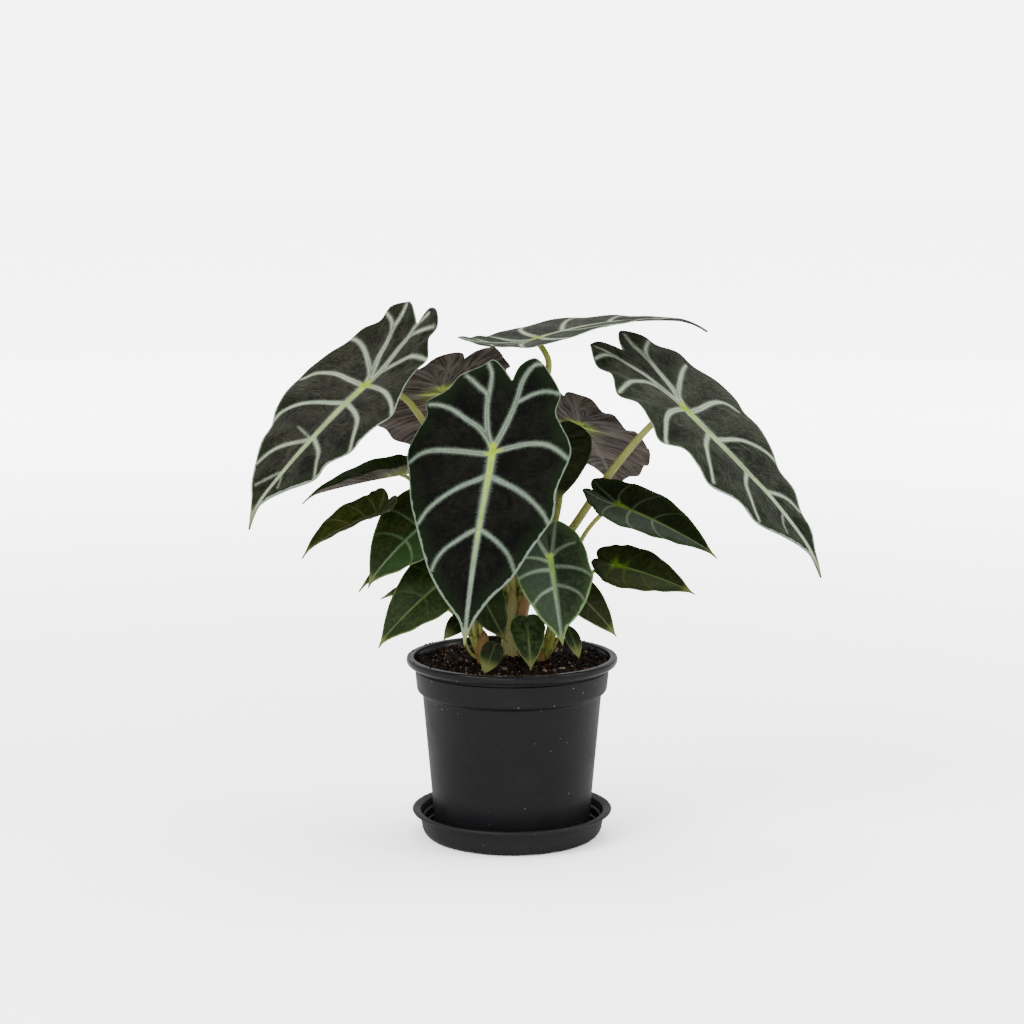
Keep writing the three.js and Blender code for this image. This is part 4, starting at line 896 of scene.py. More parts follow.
def build_leaf(values, materials):
    """A leaf as a closed skin, with the vein fields as attributes."""
    axes = leaf_axes(values)
    length, up = axes[-1], axes[3]
    thickness = LEAF_GRID[values["size"]][2]
    x, y, lift, out = leaf_grid(values, axes)
    sheet = bend_leaf(values, axes, x, y, lift)
    normal = unit(np.cross(np.gradient(sheet, axis=0), np.gradient(sheet, axis=1)))
    if np.mean(normal @ up) < 0:
        normal = -normal

    margin = np.concatenate([
        np.stack([x[:, 0], y[:, 0]], axis=1)[::-1], [[length, 0]], np.stack([x[:, -1], y[:, -1]], axis=1),
    ])
    fields = vein_fields(values, length, np.stack([x.ravel(), y.ravel()], axis=1), margin)
    at = {key: value.reshape(x.shape) for key, value in fields.items()}

    size = values["half_width"] / FULL_HALF_WIDTH
    ribs = np.minimum(at["vein_edge"], at["midrib_edge"])
    edge_fade = smoothstep(out, 1.0, 0.8)
    quilt = QUILT * size * (1 - np.exp(-np.maximum(ribs, 0) / (5 * size + 1))) * edge_fade
    raised = RIB * size**0.5 * np.exp(-np.maximum(ribs + 0.6, 0)**2 / 1.2) * edge_fade
    pleats = PLEAT * size * np.sin(2 * np.pi * PLEATS * at["between"]) * smoothstep(ribs, 0, 4) * edge_fade
    round_off = np.sqrt(np.clip(1 - out**14, 0, 1))
    top = sheet + ((thickness / 2) * round_off + quilt - 0.15 * QUILT * edge_fade)[..., None] * normal
    under = sheet - ((thickness / 2) * round_off - quilt + raised + pleats)[..., None] * normal

    skin = np.concatenate([top, under[:, -2:0:-1]], axis=1)
    tip, notch = bend_leaf(
        values, axes, np.array([length, -NOTCH_SHARE * values["lobe"] / LOBE_SHARE]), np.zeros(2),
        np.zeros(2),
    )
    attributes = {
        key: np.concatenate([value, value[:, -2:0:-1]], axis=1) for key, value in at.items()
    }
    row_count, around = skin.shape[:2]
    lower = np.arange(around) >= x.shape[1] - 1
    face_material = np.concatenate([np.tile(lower, row_count - 1), lower, lower]).astype(int)
    name = f"leaf_{values['name']}"
    return add_skins(name, [tube_skin(skin, tip, notch, attributes, face_material)], materials)


# %% [markdown]
# ## Finishes of the leaves
#
# The upper face is velvet: a very short pile that drinks the light that falls straight on it and
# glows grey where the eye grazes it. The sheen lobe of the Principled shader is made for this. The
# veins are pale and smooth, and fade into the black through fine side hairs. One group makes that
# hairy edge out of the stored distances, and both faces of all leaves use it.


# %% Group: veins with hairy edges
def make_vein_group():
    """Mask of a vein: 1 inside its edge, fading out through hairs that stand across it.

    A noise that is stretched across the vein moves its edge in and out by Hair mm. Frost is a fine
    light and dark grain of the vein itself, round 1. Fringe is a thinner coat of longer hairs: it is
    (1 - distance / length)^1.5 outside the edge, where length is Length mm times the same noise.
    """
    tree, entry, leaving = new_group(
        "hairy_vein",
        [("Edge", "Float", 0.0), ("Run", "Float", 0.0), ("Hair", "Float", 0.9), ("Pitch", "Float", 2.6),
         ("Softness", "Float", 0.4), ("Length", "Float", 2.0)],
        [("Mask", "Float"), ("Frost", "Float"), ("Fringe", "Float")],
    )
    place = flat_point(tree, times(tree, entry["Run"], entry["Pitch"]), times(tree, entry["Edge"], 0.25))
    strands = noise(tree, place, 1.0, detail=2.0, roughness=0.7)
    wide = noise(tree, place, 0.12, detail=1.0)
    reach = times(tree, calculate(tree, "SUBTRACT", strands, 0.5), 6.0)
    drift = times(tree, calculate(tree, "SUBTRACT", wide, 0.5), 1.5)
    shift = times(tree, plus(tree, reach, drift), entry["Hair"])
    moved = calculate(tree, "SUBTRACT", entry["Edge"], shift)
    low = times(tree, entry["Softness"], -1.0)
    tree.links.new(ramp_value(tree, moved, low, entry["Softness"], 1.0, 0.0), leaving["Mask"])
    grain_place = flat_point(tree, times(tree, entry["Run"], 1.6), times(tree, entry["Edge"], 1.1))
    grain = noise(tree, grain_place, 1.0, detail=1.0)
    tree.links.new(ramp_value(tree, grain, 0.3, 0.7, 0.8, 1.15), leaving["Frost"])
    length = times(tree, entry["Length"], ramp_value(tree, strands, 0.36, 0.66, 0.5, 1.2))
    near = calculate(tree, "SUBTRACT", 1.0, calculate(tree, "DIVIDE", entry["Edge"], length), clamp=True)
    tree.links.new(calculate(tree, "POWER", near, 1.5), leaving["Fringe"])
    return tree


hairy_vein = make_vein_group()
print("values of hairy_vein:", [item.name for item in hairy_vein.interface.items_tree])

# %% [markdown]
# ## The upper face
#
# Its flesh isn't one black. It is clouded, streaked from rib to rib and greener towards the margin. Its
# lighter tones are partly the pile's own and partly painted sheen along its folds, and on some leaves
# one half is painted much paler: painted sheen of the half that the eye grazes. The veins lie over it with
# a fine dark groove in the middle and short hairs at their sides, and the midrib is bare and yellow-green
# where the stalk joins, with a brighter crest that is partly its own colour and partly a painted
# highlight. Each of these is a mask, worked out from the stored distances, that blends two colours.

# %% Flesh of the upper face
VEIN_KEYS = ("vein_edge", "vein_run", "midrib_edge", "midrib_run", "midrib_side")


def flesh_between(tree, look, place, rim, midrib_side):
    """Colours of the flesh and of the veins on it, and the streaks, which the bump uses too.

    shade = 0.35 streak + (0.65 - mottle) cloud + mottle times a fine noise. It leads from dark to light.
    """
    size = look["size"]
    vein_colour = look["vein"]
    cloud = noise(tree, place, 60.0, detail=4.0, roughness=0.65)
    mottle = noise(tree, place, 420.0, detail=2.0)
    drift = times(tree, noise(tree, place, 110.0, detail=1.0), 3.0)
    turn = calculate(tree, "MULTIPLY_ADD", attribute(tree, "between"), 12.0, drift)
    streak_place = flat_point(tree, turn, times(tree, rim, 0.16 / size))
    streak = noise(tree, streak_place, 1.0, detail=3.0, roughness=0.65)
    cloud_part = times(tree, cloud, 0.65 - look["mottle"])
    mottle_part = times(tree, mottle, look["mottle"])
    shade = calculate(tree, "MULTIPLY_ADD", streak, 0.35, plus(tree, cloud_part, mottle_part))
    # The light colour that streaks and clouds lead to is partly the pile's own tone and partly painted sheen
    # along its folds.
    flesh = blend_colour(tree, ramp_value(tree, shade, 0.40, 0.64), look["dark"], look["light"])
    # One half painted paler: painted sheen of the half that the eye grazes. Its veins stay bright and those
    # of the other half are dimmed, as part of the same painted sheen.
    if look["pale_half"]:
        far = ramp_value(tree, midrib_side, -0.8, 0.8)
        half = far if look["pale_half"] > 0 else calculate(tree, "SUBTRACT", 1.0, far)
        painted_sheen_share = ramp_value(tree, shade, 0.36, 0.66, 0.55, 1.0)
        pale = blend_colour(tree, painted_sheen_share, look["dark"], look["painted_sheen"])
        flesh = blend_colour(tree, half, flesh, pale)
        dimmer = tuple(look["dark_half_vein"] * v for v in look["vein"])
        vein_colour = blend_colour(tree, half, dimmer, look["vein"])
    inwards = plus(tree, rim, times(tree, cloud, 9.0 * size))
    greener = ramp_value(tree, inwards, 15.0 * size, 3.5 * size, 0.0, 0.8)
    return blend_colour(tree, greener, flesh, look["margin"]), vein_colour, streak


# %% Veins of the upper face
def vein_cover(tree, look, edge, run, midrib, midrib_run):
    """Where veins and hairs cover the flesh, where the midrib does, the groove and the grain of veins.

    The cover is the largest of the side veins, the midrib and half of the hairs beside them.
    """
    size = look["size"]
    lateral = use_group(tree, hairy_vein, {
        "Edge": edge, "Run": run, "Hair": look["hair"], "Length": 1.9 * size,
    })
    central_length = ramp_value(tree, midrib_run, 85.0 * size, 5.0 * size, 1.1 * size, 3.0 * size)
    central = use_group(tree, hairy_vein, {
        "Edge": midrib, "Run": midrib_run, "Hair": 1.3 * look["hair"], "Length": central_length,
    })
    beside = calculate(tree, "ABSOLUTE", attribute(tree, "vein_side"))
    groove = times(tree, ramp_value(tree, beside, 0.55, 0.2, 0.0, 0.75), ramp_value(tree, edge, -0.35, -0.7))
    side_hairs = times(tree, lateral["Fringe"], 0.5)
    side_veins = calculate(tree, "MAXIMUM", lateral["Mask"], side_hairs)
    side_veins = times(tree, side_veins, look["laterals"])
    cover = calculate(tree, "MAXIMUM", side_veins, times(tree, central["Fringe"], 0.5))
    cover = calculate(tree, "MAXIMUM", cover, central["Mask"])
    return times(tree, cover, look["contrast"]), central["Mask"], groove, lateral["Frost"]


# %% Midrib and heart of the upper face
def with_heart(tree, look, colour, edge, midrib, midrib_run, midrib_side, midrib_mask):
    """A colour with the yellow-green midrib, its brighter crest, its grain and the star at the stalk."""
    size = look["size"]
    bare = ramp_value(tree, midrib, 0.0, -0.6 * size)
    fading = ramp_value(tree, midrib_run, look["green_run"], 0.15 * look["green_run"])
    colour = blend_colour(tree, times(tree, bare, fading), colour, look["heart"])
    # The brighter crest along the middle of the midrib is partly its own yellow-green and partly a painted
    # highlight of the ridge.
    crest = ramp_value(tree, calculate(tree, "ABSOLUTE", midrib_side), 1.1 * size, 0.5 * size)
    crest_end = look["crest_run"]
    crest = times(tree, crest, ramp_value(tree, midrib_run, crest_end, 0.4 * crest_end))
    crest = times(tree, crest, ramp_value(tree, midrib_run, 3.0, 9.0, 0.0, look["crest"]))
    colour = blend_colour(tree, crest, colour, look["crest_highlight_colour"])
    grain_place = flat_point(tree, times(tree, midrib_run, 0.12), times(tree, midrib_side, 2.4))
    grain = ramp_value(tree, noise(tree, grain_place, 1.0, detail=2.0), 0.35, 0.65, 0.7, 1.1)
    grained = blend_colour(tree, 1.0, colour, grey(tree, grain), mode="MULTIPLY")
    colour = blend_colour(tree, times(tree, bare, midrib_mask), colour, grained)
    radius = vector_length(tree, flat_point(tree, midrib_run, midrib_side))
    soft = look["glow"] * size
    star = ramp_value(tree, calculate(tree, "MINIMUM", edge, midrib), 0.2 + soft, -0.7)
    star = times(tree, star, ramp_value(tree, radius, 7.0 * size + 3.0 * soft, 2.5 * size))
    return blend_colour(tree, star, colour, look["star"])


# %% Finish of the upper face
DRY_TIP = (0.14, 0.085, 0.035)


def upper_finish(name, look):
    """The upper face: dark pile, pale hairy veins, a yellow-green heart and a pale rim.

    A look holds colours: dark and light for the flesh, light being partly painted sheen, margin for the
    green near the rim, vein, heart for the midrib by the stalk, star on the junction itself,
    crest_highlight_colour for the top of the midrib, partly its own colour and partly a painted highlight,
    rim, tip, and painted_sheen for a half painted paler as sheen, which pale_half picks: 1 the right one,
    -1 the left one.
    Its lengths in mm are hair, glow round the star, rim_breadth, and how far tip, green and crest run.
    Its shares are laterals, contrast, groove, crest, mottle, folds and dark_half_vein. rough, gloss
    and sheen go to the shader. size is 1 for a leaf that is 90 mm wide, and the patterns go with it.
    """
    material, tree, shader = new_material(name)
    place = object_place(tree)
    edge, run, midrib, midrib_run, midrib_side = (attribute(tree, key) for key in VEIN_KEYS)
    rim = attribute(tree, "rim")
    tip_gap = attribute(tree, "tip_gap")
    size = look["size"]
    flesh, vein_colour, streak = flesh_between(tree, look, place, rim, midrib_side)
    cover, midrib_mask, groove, frost = vein_cover(tree, look, edge, run, midrib, midrib_run)
    groove_colour = tuple(0.35 * v for v in look["vein"])
    vein = blend_colour(tree, times(tree, groove, look["groove"]), vein_colour, groove_colour)
    vein = blend_colour(tree, 1.0, vein, grey(tree, frost), mode="MULTIPLY")
    colour = blend_colour(tree, cover, flesh, vein)
    colour = with_heart(tree, look, colour, edge, midrib, midrib_run, midrib_side, midrib_mask)

    broad = look["rim_breadth"] * size
    rim_wide = ramp_value(tree, midrib_run, -35.0 * size, 75.0 * size, 0.5 * broad, 1.5 * broad)
    rim_wave = ramp_value(tree, noise(tree, place, 260.0, detail=2.0), 0.3, 0.7, 0.7, 1.25)
    rim_gap = calculate(tree, "SUBTRACT", rim, times(tree, rim_wide, rim_wave))
    colour = blend_colour(tree, ramp_value(tree, rim_gap, 0.3, -0.25), colour, look["rim"])
    drawn_out = ramp_value(tree, tip_gap, look["tip_run"], 0.3 * look["tip_run"], 0.0, 0.9)
    colour = blend_colour(tree, drawn_out, colour, look["tip"])
    colour = blend_colour(tree, ramp_value(tree, tip_gap, 1.2 + 2.0 * size, 0.4), colour, DRY_TIP)
    tree.links.new(colour, shader.inputs["Base Color"])

    pile = noise(tree, place, 2400.0, detail=1.0)
    height = plus(tree, times(tree, pile, 0.3), times(tree, streak, look["folds"]))
    height = plus(tree, height, times(tree, groove, -0.9))
    tree.links.new(bump(tree, height, 0.0002), shader.inputs["Normal"])
    shader.inputs["Roughness"].default_value = look["rough"]
    shader.inputs["Specular IOR Level"].default_value = look["gloss"]
    shader.inputs["Sheen Weight"].default_value = look["sheen"]
    shader.inputs["Sheen Roughness"].default_value = 0.35
    shader.inputs["Sheen Tint"].default_value = (*look["sheen_tint"], 1.0)
    return material


# %% [markdown]
# ## Looks of the leaves
#
# No two leaves are of one age. Mature ones are black velvet, and young ones olive or green. A grazed pile
# glows grey, brown or silver. The grey, brown and top looks, and the paler halves of some young ones,
# paint that glow into the flesh colour as painted sheen. One finish with a table of numbers covers them
# all, where a material made by hand for each leaf would drift apart. A look states only what differs
# from the one that it starts from.

# %% Looks of the leaves
VELVET = dict(
    size=1.0, dark=(0.0018, 0.0023, 0.0013), light=(0.0135, 0.0130, 0.0095), margin=(0.010, 0.023, 0.006),
    mottle=0.2, folds=3.2, pale_half=0, painted_sheen=(0, 0, 0), dark_half_vein=0.5,
    vein=(0.36, 0.47, 0.35), hair=0.26, laterals=1.0, contrast=1.0, groove=1.0,
    heart=(0.72, 0.95, 0.14), green_run=30.0, star=(0.60, 0.88, 0.04), glow=0.0,
    crest=0.85, crest_highlight_colour=(0.60, 0.86, 0.08), crest_run=78.0,
    rim=(0.28, 0.37, 0.28), rim_breadth=0.85, tip=(0.36, 0.42, 0.17), tip_run=14.0,
    rough=0.6, gloss=0.08, sheen=0.28, sheen_tint=(0.80, 0.79, 0.66),
)
# Flesh up to four times lighter than the black velvet: painted sheen of a pile that the eye grazes.
VELVET_PAINTED_SHEEN = dict(
    VELVET, dark=(0.0042, 0.0064, 0.0030), light=(0.051, 0.058, 0.037), margin=(0.020, 0.034, 0.013),
    vein=(0.63, 0.75, 0.54), rim=(0.34, 0.42, 0.33), rim_breadth=1.0, crest=0.95,
    crest_highlight_colour=(0.44, 0.76, 0.05), crest_run=100.0, green_run=20.0, folds=6.5,
    sheen_tint=(0.78, 0.81, 0.66),
)
YOUNG = dict(
    VELVET, size=0.45, margin=(0.018, 0.040, 0.006), tip=(0.24, 0.27, 0.08), tip_run=10.0,
    rim_breadth=1.2, hair=0.12, contrast=0.8, groove=0.0, crest=0.3, crest_highlight_colour=(0.30, 0.42, 0.18),
    green_run=14.0, folds=2.0, rough=0.42, gloss=0.14, sheen=0.05, mottle=0.35,
)
# The grey, brown and top velvet looks paint the glow of a grazed pile into the flesh: painted sheen. A look
# with a pale half paints that half paler in the same way.
LOOKS = {
    "velvet_black": VELVET,
    "velvet_grey_painted_sheen": VELVET_PAINTED_SHEEN,
    "velvet_brown_painted_sheen": dict(
        VELVET_PAINTED_SHEEN, dark=(0.0029, 0.0033, 0.0016), light=(0.043, 0.044, 0.027), vein=(0.58, 0.68, 0.49),
        margin=(0.018, 0.026, 0.009), sheen_tint=(0.80, 0.78, 0.66),
    ),
    "velvet_top_painted_sheen": dict(
        VELVET_PAINTED_SHEEN, dark=(0.007, 0.0085, 0.006), light=(0.062, 0.065, 0.052), sheen=0.2, crest=0.4,
        crest_highlight_colour=(0.50, 0.62, 0.28), crest_run=50.0, green_run=9.0,
    ),
    "young_silver_painted_sheen": dict(
        YOUNG, size=0.6, dark=(0.009, 0.018, 0.006), light=(0.036, 0.060, 0.022),
        margin=(0.046, 0.085, 0.025), vein=(0.30, 0.40, 0.27), heart=(0.32, 0.56, 0.10),
        star=(0.44, 0.72, 0.10), rim=(0.20, 0.32, 0.14), rim_breadth=1.5, pale_half=-1,
        painted_sheen=(0.066, 0.100, 0.060), contrast=1.0, hair=0.2, crest_highlight_colour=(0.34, 0.60, 0.10),
        crest=0.8, crest_run=30.0, green_run=20.0,
    ),
    "young_half_painted_sheen": dict(
        YOUNG, dark=(0.0045, 0.0075, 0.0015), light=(0.015, 0.022, 0.004), vein=(0.30, 0.39, 0.24),
        heart=(0.12, 0.22, 0.03), star=(0.20, 0.32, 0.03), rim=(0.08, 0.12, 0.04), pale_half=-1,
        painted_sheen=(0.105, 0.140, 0.100), dark_half_vein=0.28, green_run=60.0, contrast=0.75, glow=3.0,
    ),
    "young_olive": dict(
        YOUNG, dark=(0.010, 0.016, 0.0025), light=(0.032, 0.044, 0.007), vein=(0.09, 0.13, 0.03),
        heart=(0.09, 0.17, 0.02), star=(0.14, 0.28, 0.02), rim=(0.08, 0.11, 0.03), pale_half=-1,
        painted_sheen=(0.066, 0.084, 0.034), margin=(0.011, 0.022, 0.003), green_run=34.0, contrast=0.6, glow=4.0,
    ),
    "young_deep": dict(
        YOUNG, dark=(0.012, 0.022, 0.003), light=(0.040, 0.058, 0.012), margin=(0.034, 0.052, 0.010),
        vein=(0.20, 0.36, 0.16), heart=(0.18, 0.36, 0.12), star=(0.20, 0.40, 0.08), rim=(0.16, 0.26, 0.11),
        pale_half=1, painted_sheen=(0.042, 0.105, 0.028), crest_highlight_colour=(0.42, 0.55, 0.32),
    ),
    "young_leafy": dict(
        YOUNG, dark=(0.011, 0.024, 0.003), light=(0.036, 0.060, 0.012), vein=(0.09, 0.15, 0.04),
        heart=(0.11, 0.17, 0.04), star=(0.11, 0.18, 0.04), rim=(0.12, 0.18, 0.05), laterals=0.5,
        contrast=0.6,
    ),
    "young_drab": dict(
        YOUNG, dark=(0.018, 0.025, 0.006), light=(0.042, 0.053, 0.015), vein=(0.12, 0.15, 0.06),
        heart=(0.13, 0.17, 0.05), star=(0.13, 0.18, 0.05), rim=(0.11, 0.14, 0.05), laterals=0.5,
        contrast=0.55,
    ),
    "young_plain": dict(
        YOUNG, dark=(0.009, 0.019, 0.003), light=(0.060, 0.098, 0.026), vein=(0.11, 0.18, 0.06),
        heart=(0.10, 0.16, 0.05), star=(0.07, 0.12, 0.03), rim=(0.20, 0.29, 0.10), laterals=0.15,
        contrast=0.55, rim_breadth=0.8, mottle=0.45,
    ),
    "young_egg": dict(
        YOUNG, dark=(0.007, 0.013, 0.002), light=(0.024, 0.037, 0.008), margin=(0.011, 0.024, 0.004),
        vein=(0.06, 0.09, 0.03), heart=(0.06, 0.09, 0.02), star=(0.05, 0.07, 0.02),
        rim=(0.06, 0.09, 0.03), laterals=0.0, contrast=0.35, crest=0.1, rim_breadth=0.6, mottle=0.5,
    ),
    "young_yellow": dict(
        YOUNG, dark=(0.034, 0.046, 0.006), light=(0.088, 0.115, 0.016), vein=(0.19, 0.23, 0.07),
        heart=(0.16, 0.21, 0.05), star=(0.16, 0.22, 0.04), rim=(0.13, 0.15, 0.05), contrast=0.7,
    ),
}
LOOK_OF = {
    "front_large": "velvet_black", "left_large": "velvet_brown_painted_sheen", "right_large": "velvet_grey_painted_sheen",
    "top_large": "velvet_top_painted_sheen", "back_left": "velvet_brown_painted_sheen", "back_right": "velvet_brown_painted_sheen",
    "front_medium": "young_silver_painted_sheen", "front_heart": "young_plain", "front_tiny": "young_egg",
    "right_medium": "young_half_painted_sheen", "left_narrow": "young_leafy", "left_curled": "young_yellow",
    "left_middle": "young_deep", "left_low": "young_leafy", "front_lower": "young_leafy",
    "left_tiny": "young_egg", "right_low": "young_drab", "right_tiny": "young_drab",
}
upper_finishes = {name: upper_finish(name, look) for name, look in LOOKS.items()}
print("upper finishes:", len(upper_finishes))


# %% [markdown]
# ## The underside
#
# The back of a blade is dull and purple-brown, with paler ribs. It has no velvet, so it takes no
# sheen. The wave that raises its pleats also lightens their ridges and darkens their troughs in the
# colour: painted shade and light on the pleats, which makes them easier to see in soft light.

# %% Underside
def under_finish(name, dark, light, rib, heart_colour):
    """The underside: dull purple-brown pleats, paler ribs and a yellow-green heart."""
    material, tree, shader = new_material(name)
    place = object_place(tree)
    edge, run, midrib, midrib_run, midrib_side = (attribute(tree, key) for key in VEIN_KEYS)
    between = attribute(tree, "between")
    wave = calculate(tree, "SINE", times(tree, between, 2 * math.pi * PLEATS))
    cloud = noise(tree, place, 60.0, detail=4.0, roughness=0.6)
    fine = noise(tree, place, 700.0, detail=2.0)
    # Painted shade: the pleat wave makes the colour lighter on the ridges and darker in the troughs.
    shade = plus(tree, times(tree, wave, 0.12), cloud)
    shade = plus(tree, shade, times(tree, fine, 0.2))
    flesh = blend_colour(tree, ramp_value(tree, shade, 0.35, 0.85), dark, light)
    lateral = use_group(tree, hairy_vein, {"Edge": edge, "Run": run, "Hair": 0.08, "Softness": 0.7})["Mask"]
    central = ramp_value(tree, midrib, 0.6, -0.6)
    mask = times(tree, calculate(tree, "MAXIMUM", lateral, central), 0.6)
    colour = blend_colour(tree, mask, flesh, rib)
    radius = vector_length(tree, flat_point(tree, midrib_run, midrib_side))
    near_heart = ramp_value(tree, radius, 18.0, 3.0)
    veined = calculate(tree, "MAXIMUM", lateral, central)
    spread = times(tree, near_heart, plus(tree, veined, 0.3), clamp=True)
    colour = blend_colour(tree, spread, colour, heart_colour)
    tree.links.new(colour, shader.inputs["Base Color"])
    height = plus(tree, times(tree, fine, 0.5), cloud)
    height = plus(tree, height, times(tree, wave, 0.4))
    tree.links.new(bump(tree, height, 0.0003), shader.inputs["Normal"])
    shader.inputs["Roughness"].default_value = 0.55
    shader.inputs["Specular IOR Level"].default_value = 0.2
    return material


purple_under = under_finish(
    "purple_underside", (0.044, 0.031, 0.024), (0.170, 0.135, 0.112), (0.20, 0.18, 0.13), VELVET["heart"],
)
young_under = under_finish(
    "young_underside", (0.058, 0.044, 0.034), (0.18, 0.15, 0.12), (0.30, 0.28, 0.21), VELVET["heart"],
)
print("undersides:", purple_under.name, "and", young_under.name)

# %% Make the leaves
for values in LEAVES:
    mature = values["size"] == "large"
    look_name = LOOK_OF.get(values["name"], "young_olive")
    finish = [upper_finishes[look_name], purple_under if mature else young_under]
    slot_name = "mature_blade" if mature else "young_blade"
    dress(build_leaf(values, finish), slot_name, f"blade_{values['name']}")

# %% [markdown]
# ## Stalks
#
# Each leaf hangs on a round, fleshy stalk that is thicker at its foot and joins the underside of the
# blade just behind the notch. A curve object with a bevel would do, but here a ring of points is
# carried along the route, so that the stalk can swell at both ends and carry its own lengthwise
# number for the fine stripes in its skin.

# %% Routes of the stalks
CROWNS = {
    "main": dict(centre=(-1, 8), radius=8.4, depth=16),
    "left": dict(centre=(-15, -6), radius=5.2, depth=14),
    "right": dict(centre=(16.5, -1), radius=4.8, depth=14),
}
GAP = 0.3
SOIL_TOP = 101.0
COLLAR = 1.5
FLARE = 1.25


def stalk_route(values):
    """The points that a stalk passes: foot, collar, fork, and so on up to the underside of the blade."""
    junction, _, _, up, _ = leaf_axes(values)
    crown = CROWNS[values["crown"]]
    centre = np.array(crown["centre"], float)
    way = np.array(values["stalk"][0][:2], float) - centre
    room = crown["radius"] - FLARE * values["radii"][0] - GAP
    foot = centre + min(room / np.linalg.norm(way), 1) * way
    end = junction - 0.3 * LEAF_GRID[values["size"]][2] * up
    return np.array([
        [*foot, SOIL_TOP - 3], [*foot, SOIL_TOP + COLLAR], *values["stalk"], end,
    ])


def carried_rings(route, radii, around):
    """Rings of points square to a route. Each ring's side is the last one's, turned the least."""
    direction = unit(np.gradient(route, axis=0))
    side = np.array([1.0, 0.0, 0.0])
    frames = []
    for step in direction:
        side = unit(side - side.dot(step) * step)
        frames.append((side, np.cross(step, side)))
    sides, others = (np.array(part) for part in zip(*frames))
    angle = np.linspace(0, 2 * np.pi, around, endpoint=False)
    offset = np.cos(angle)[:, None] * sides[:, None] + np.sin(angle)[:, None] * others[:, None]
    return route[:, None] + np.asarray(radii)[..., None] * offset


# %% Finish of the stalks
def stalk_finish(name, foot_colour, middle_colour, top_colour):
    """Fleshy green skin with fine lengthwise stripes, browner at the foot."""
    material, tree, shader = new_material(name)
    place = object_place(tree)
    height = attribute(tree, "run")
    turn = attribute(tree, "turn")
    stripe_place = flat_point(tree, times(tree, turn, 7.0), times(tree, height, 2.5))
    stripe = noise(tree, stripe_place, 1.0, detail=3.0, roughness=0.6)
    cloud = noise(tree, place, 90.0, detail=3.0)
    colour = blend_colour(tree, ramp_value(tree, height, 0.0, 0.4), foot_colour, middle_colour)
    colour = blend_colour(tree, ramp_value(tree, height, 0.55, 1.0), colour, top_colour)
    shade = ramp_value(tree, plus(tree, stripe, cloud), 0.75, 1.25, 0.82, 1.12)
    colour = blend_colour(tree, 1.0, colour, grey(tree, shade), mode="MULTIPLY")
    tree.links.new(colour, shader.inputs["Base Color"])
    tree.links.new(bump(tree, stripe, 0.0002), shader.inputs["Normal"])
    shader.inputs["Roughness"].default_value = 0.42
    shader.inputs["Subsurface Weight"].default_value = 0.15
    shader.inputs["Subsurface Radius"].default_value = (0.002, 0.003, 0.001)
    shader.inputs["Subsurface Scale"].default_value = 1.0
    return material


stalk_green = stalk_finish("stalk_green", (0.34, 0.29, 0.11), (0.48, 0.50, 0.13), (0.58, 0.61, 0.14))
print("finish:", stalk_green.name)

# %% Make the stalks
STALK_AROUND = 20
STEPS_PER_SPAN = 16
BLADE_SWELL = 0.25  # by which a stalk is thicker where it meets the blade


def stalk_part(values, above_fork):
    """The rings of a stalk, above its fork or below it, with the place along and round it.

    The radius falls evenly from foot to fork and from fork to blade, and swells again at the blade.
    In the last span no point stays above the plane of the leaf: it is pressed down onto it.
    """
    route = stalk_route(values)
    spans = len(route) - 1
    t = np.linspace(0, 1, STEPS_PER_SPAN * spans + 1)
    centres = curve_at(route, t)
    fork = 2 / spans
    base, top = values["radii"]
    radii = np.where(t < fork, base * (FLARE + (1 - FLARE) * t / fork),
                     base + (top - base) * (t - fork) / (1 - fork))
    radii = radii * (1 + BLADE_SWELL * smoothstep(t, 0.94, 1.0))
    rings = carried_rings(centres, radii[:, None], STALK_AROUND)
    junction, _, _, up, _ = leaf_axes(values)
    above = np.maximum((rings - junction) @ up, 0) * (t > 1 - 1 / spans)[:, None]
    rings = rings - above[..., None] * up
    place = 2 * STEPS_PER_SPAN
    kept = slice(place - 1, None) if above_fork else slice(0, place + 1)
    turn = np.abs(np.linspace(-1, 1, STALK_AROUND, endpoint=False))
    return rings[kept], centres[kept], {"run": t[kept, None], "turn": turn}


for values in LEAVES:
    rings, centres, attributes = stalk_part(values, above_fork=True)
    skin = tube_skin(rings, centres[0], centres[-1], attributes)
    stalk = add_skins(f"petiole_{values['name']}", [skin], [stalk_green])
    dress(stalk, "stalk", f"stalk_{values['name']}")
print("stalks:", len(LEAVES))

# %% [markdown]
# ## Crowns and sheaths
#
# The stalks of a shoot stand close together in the soil and hold each other: the foot of every stalk
# is a sheath that is rolled round the next younger one. Old sheaths dry to a papery red-brown. A
# sheath is a skin again: it follows the route of its stalk, reaches part of the way round it, and
# closes to a point at its top.

# %% Sheaths
SHEATH_WALL = 0.35
SHEATH_ROWS, SHEATH_COLUMNS = 34, 25


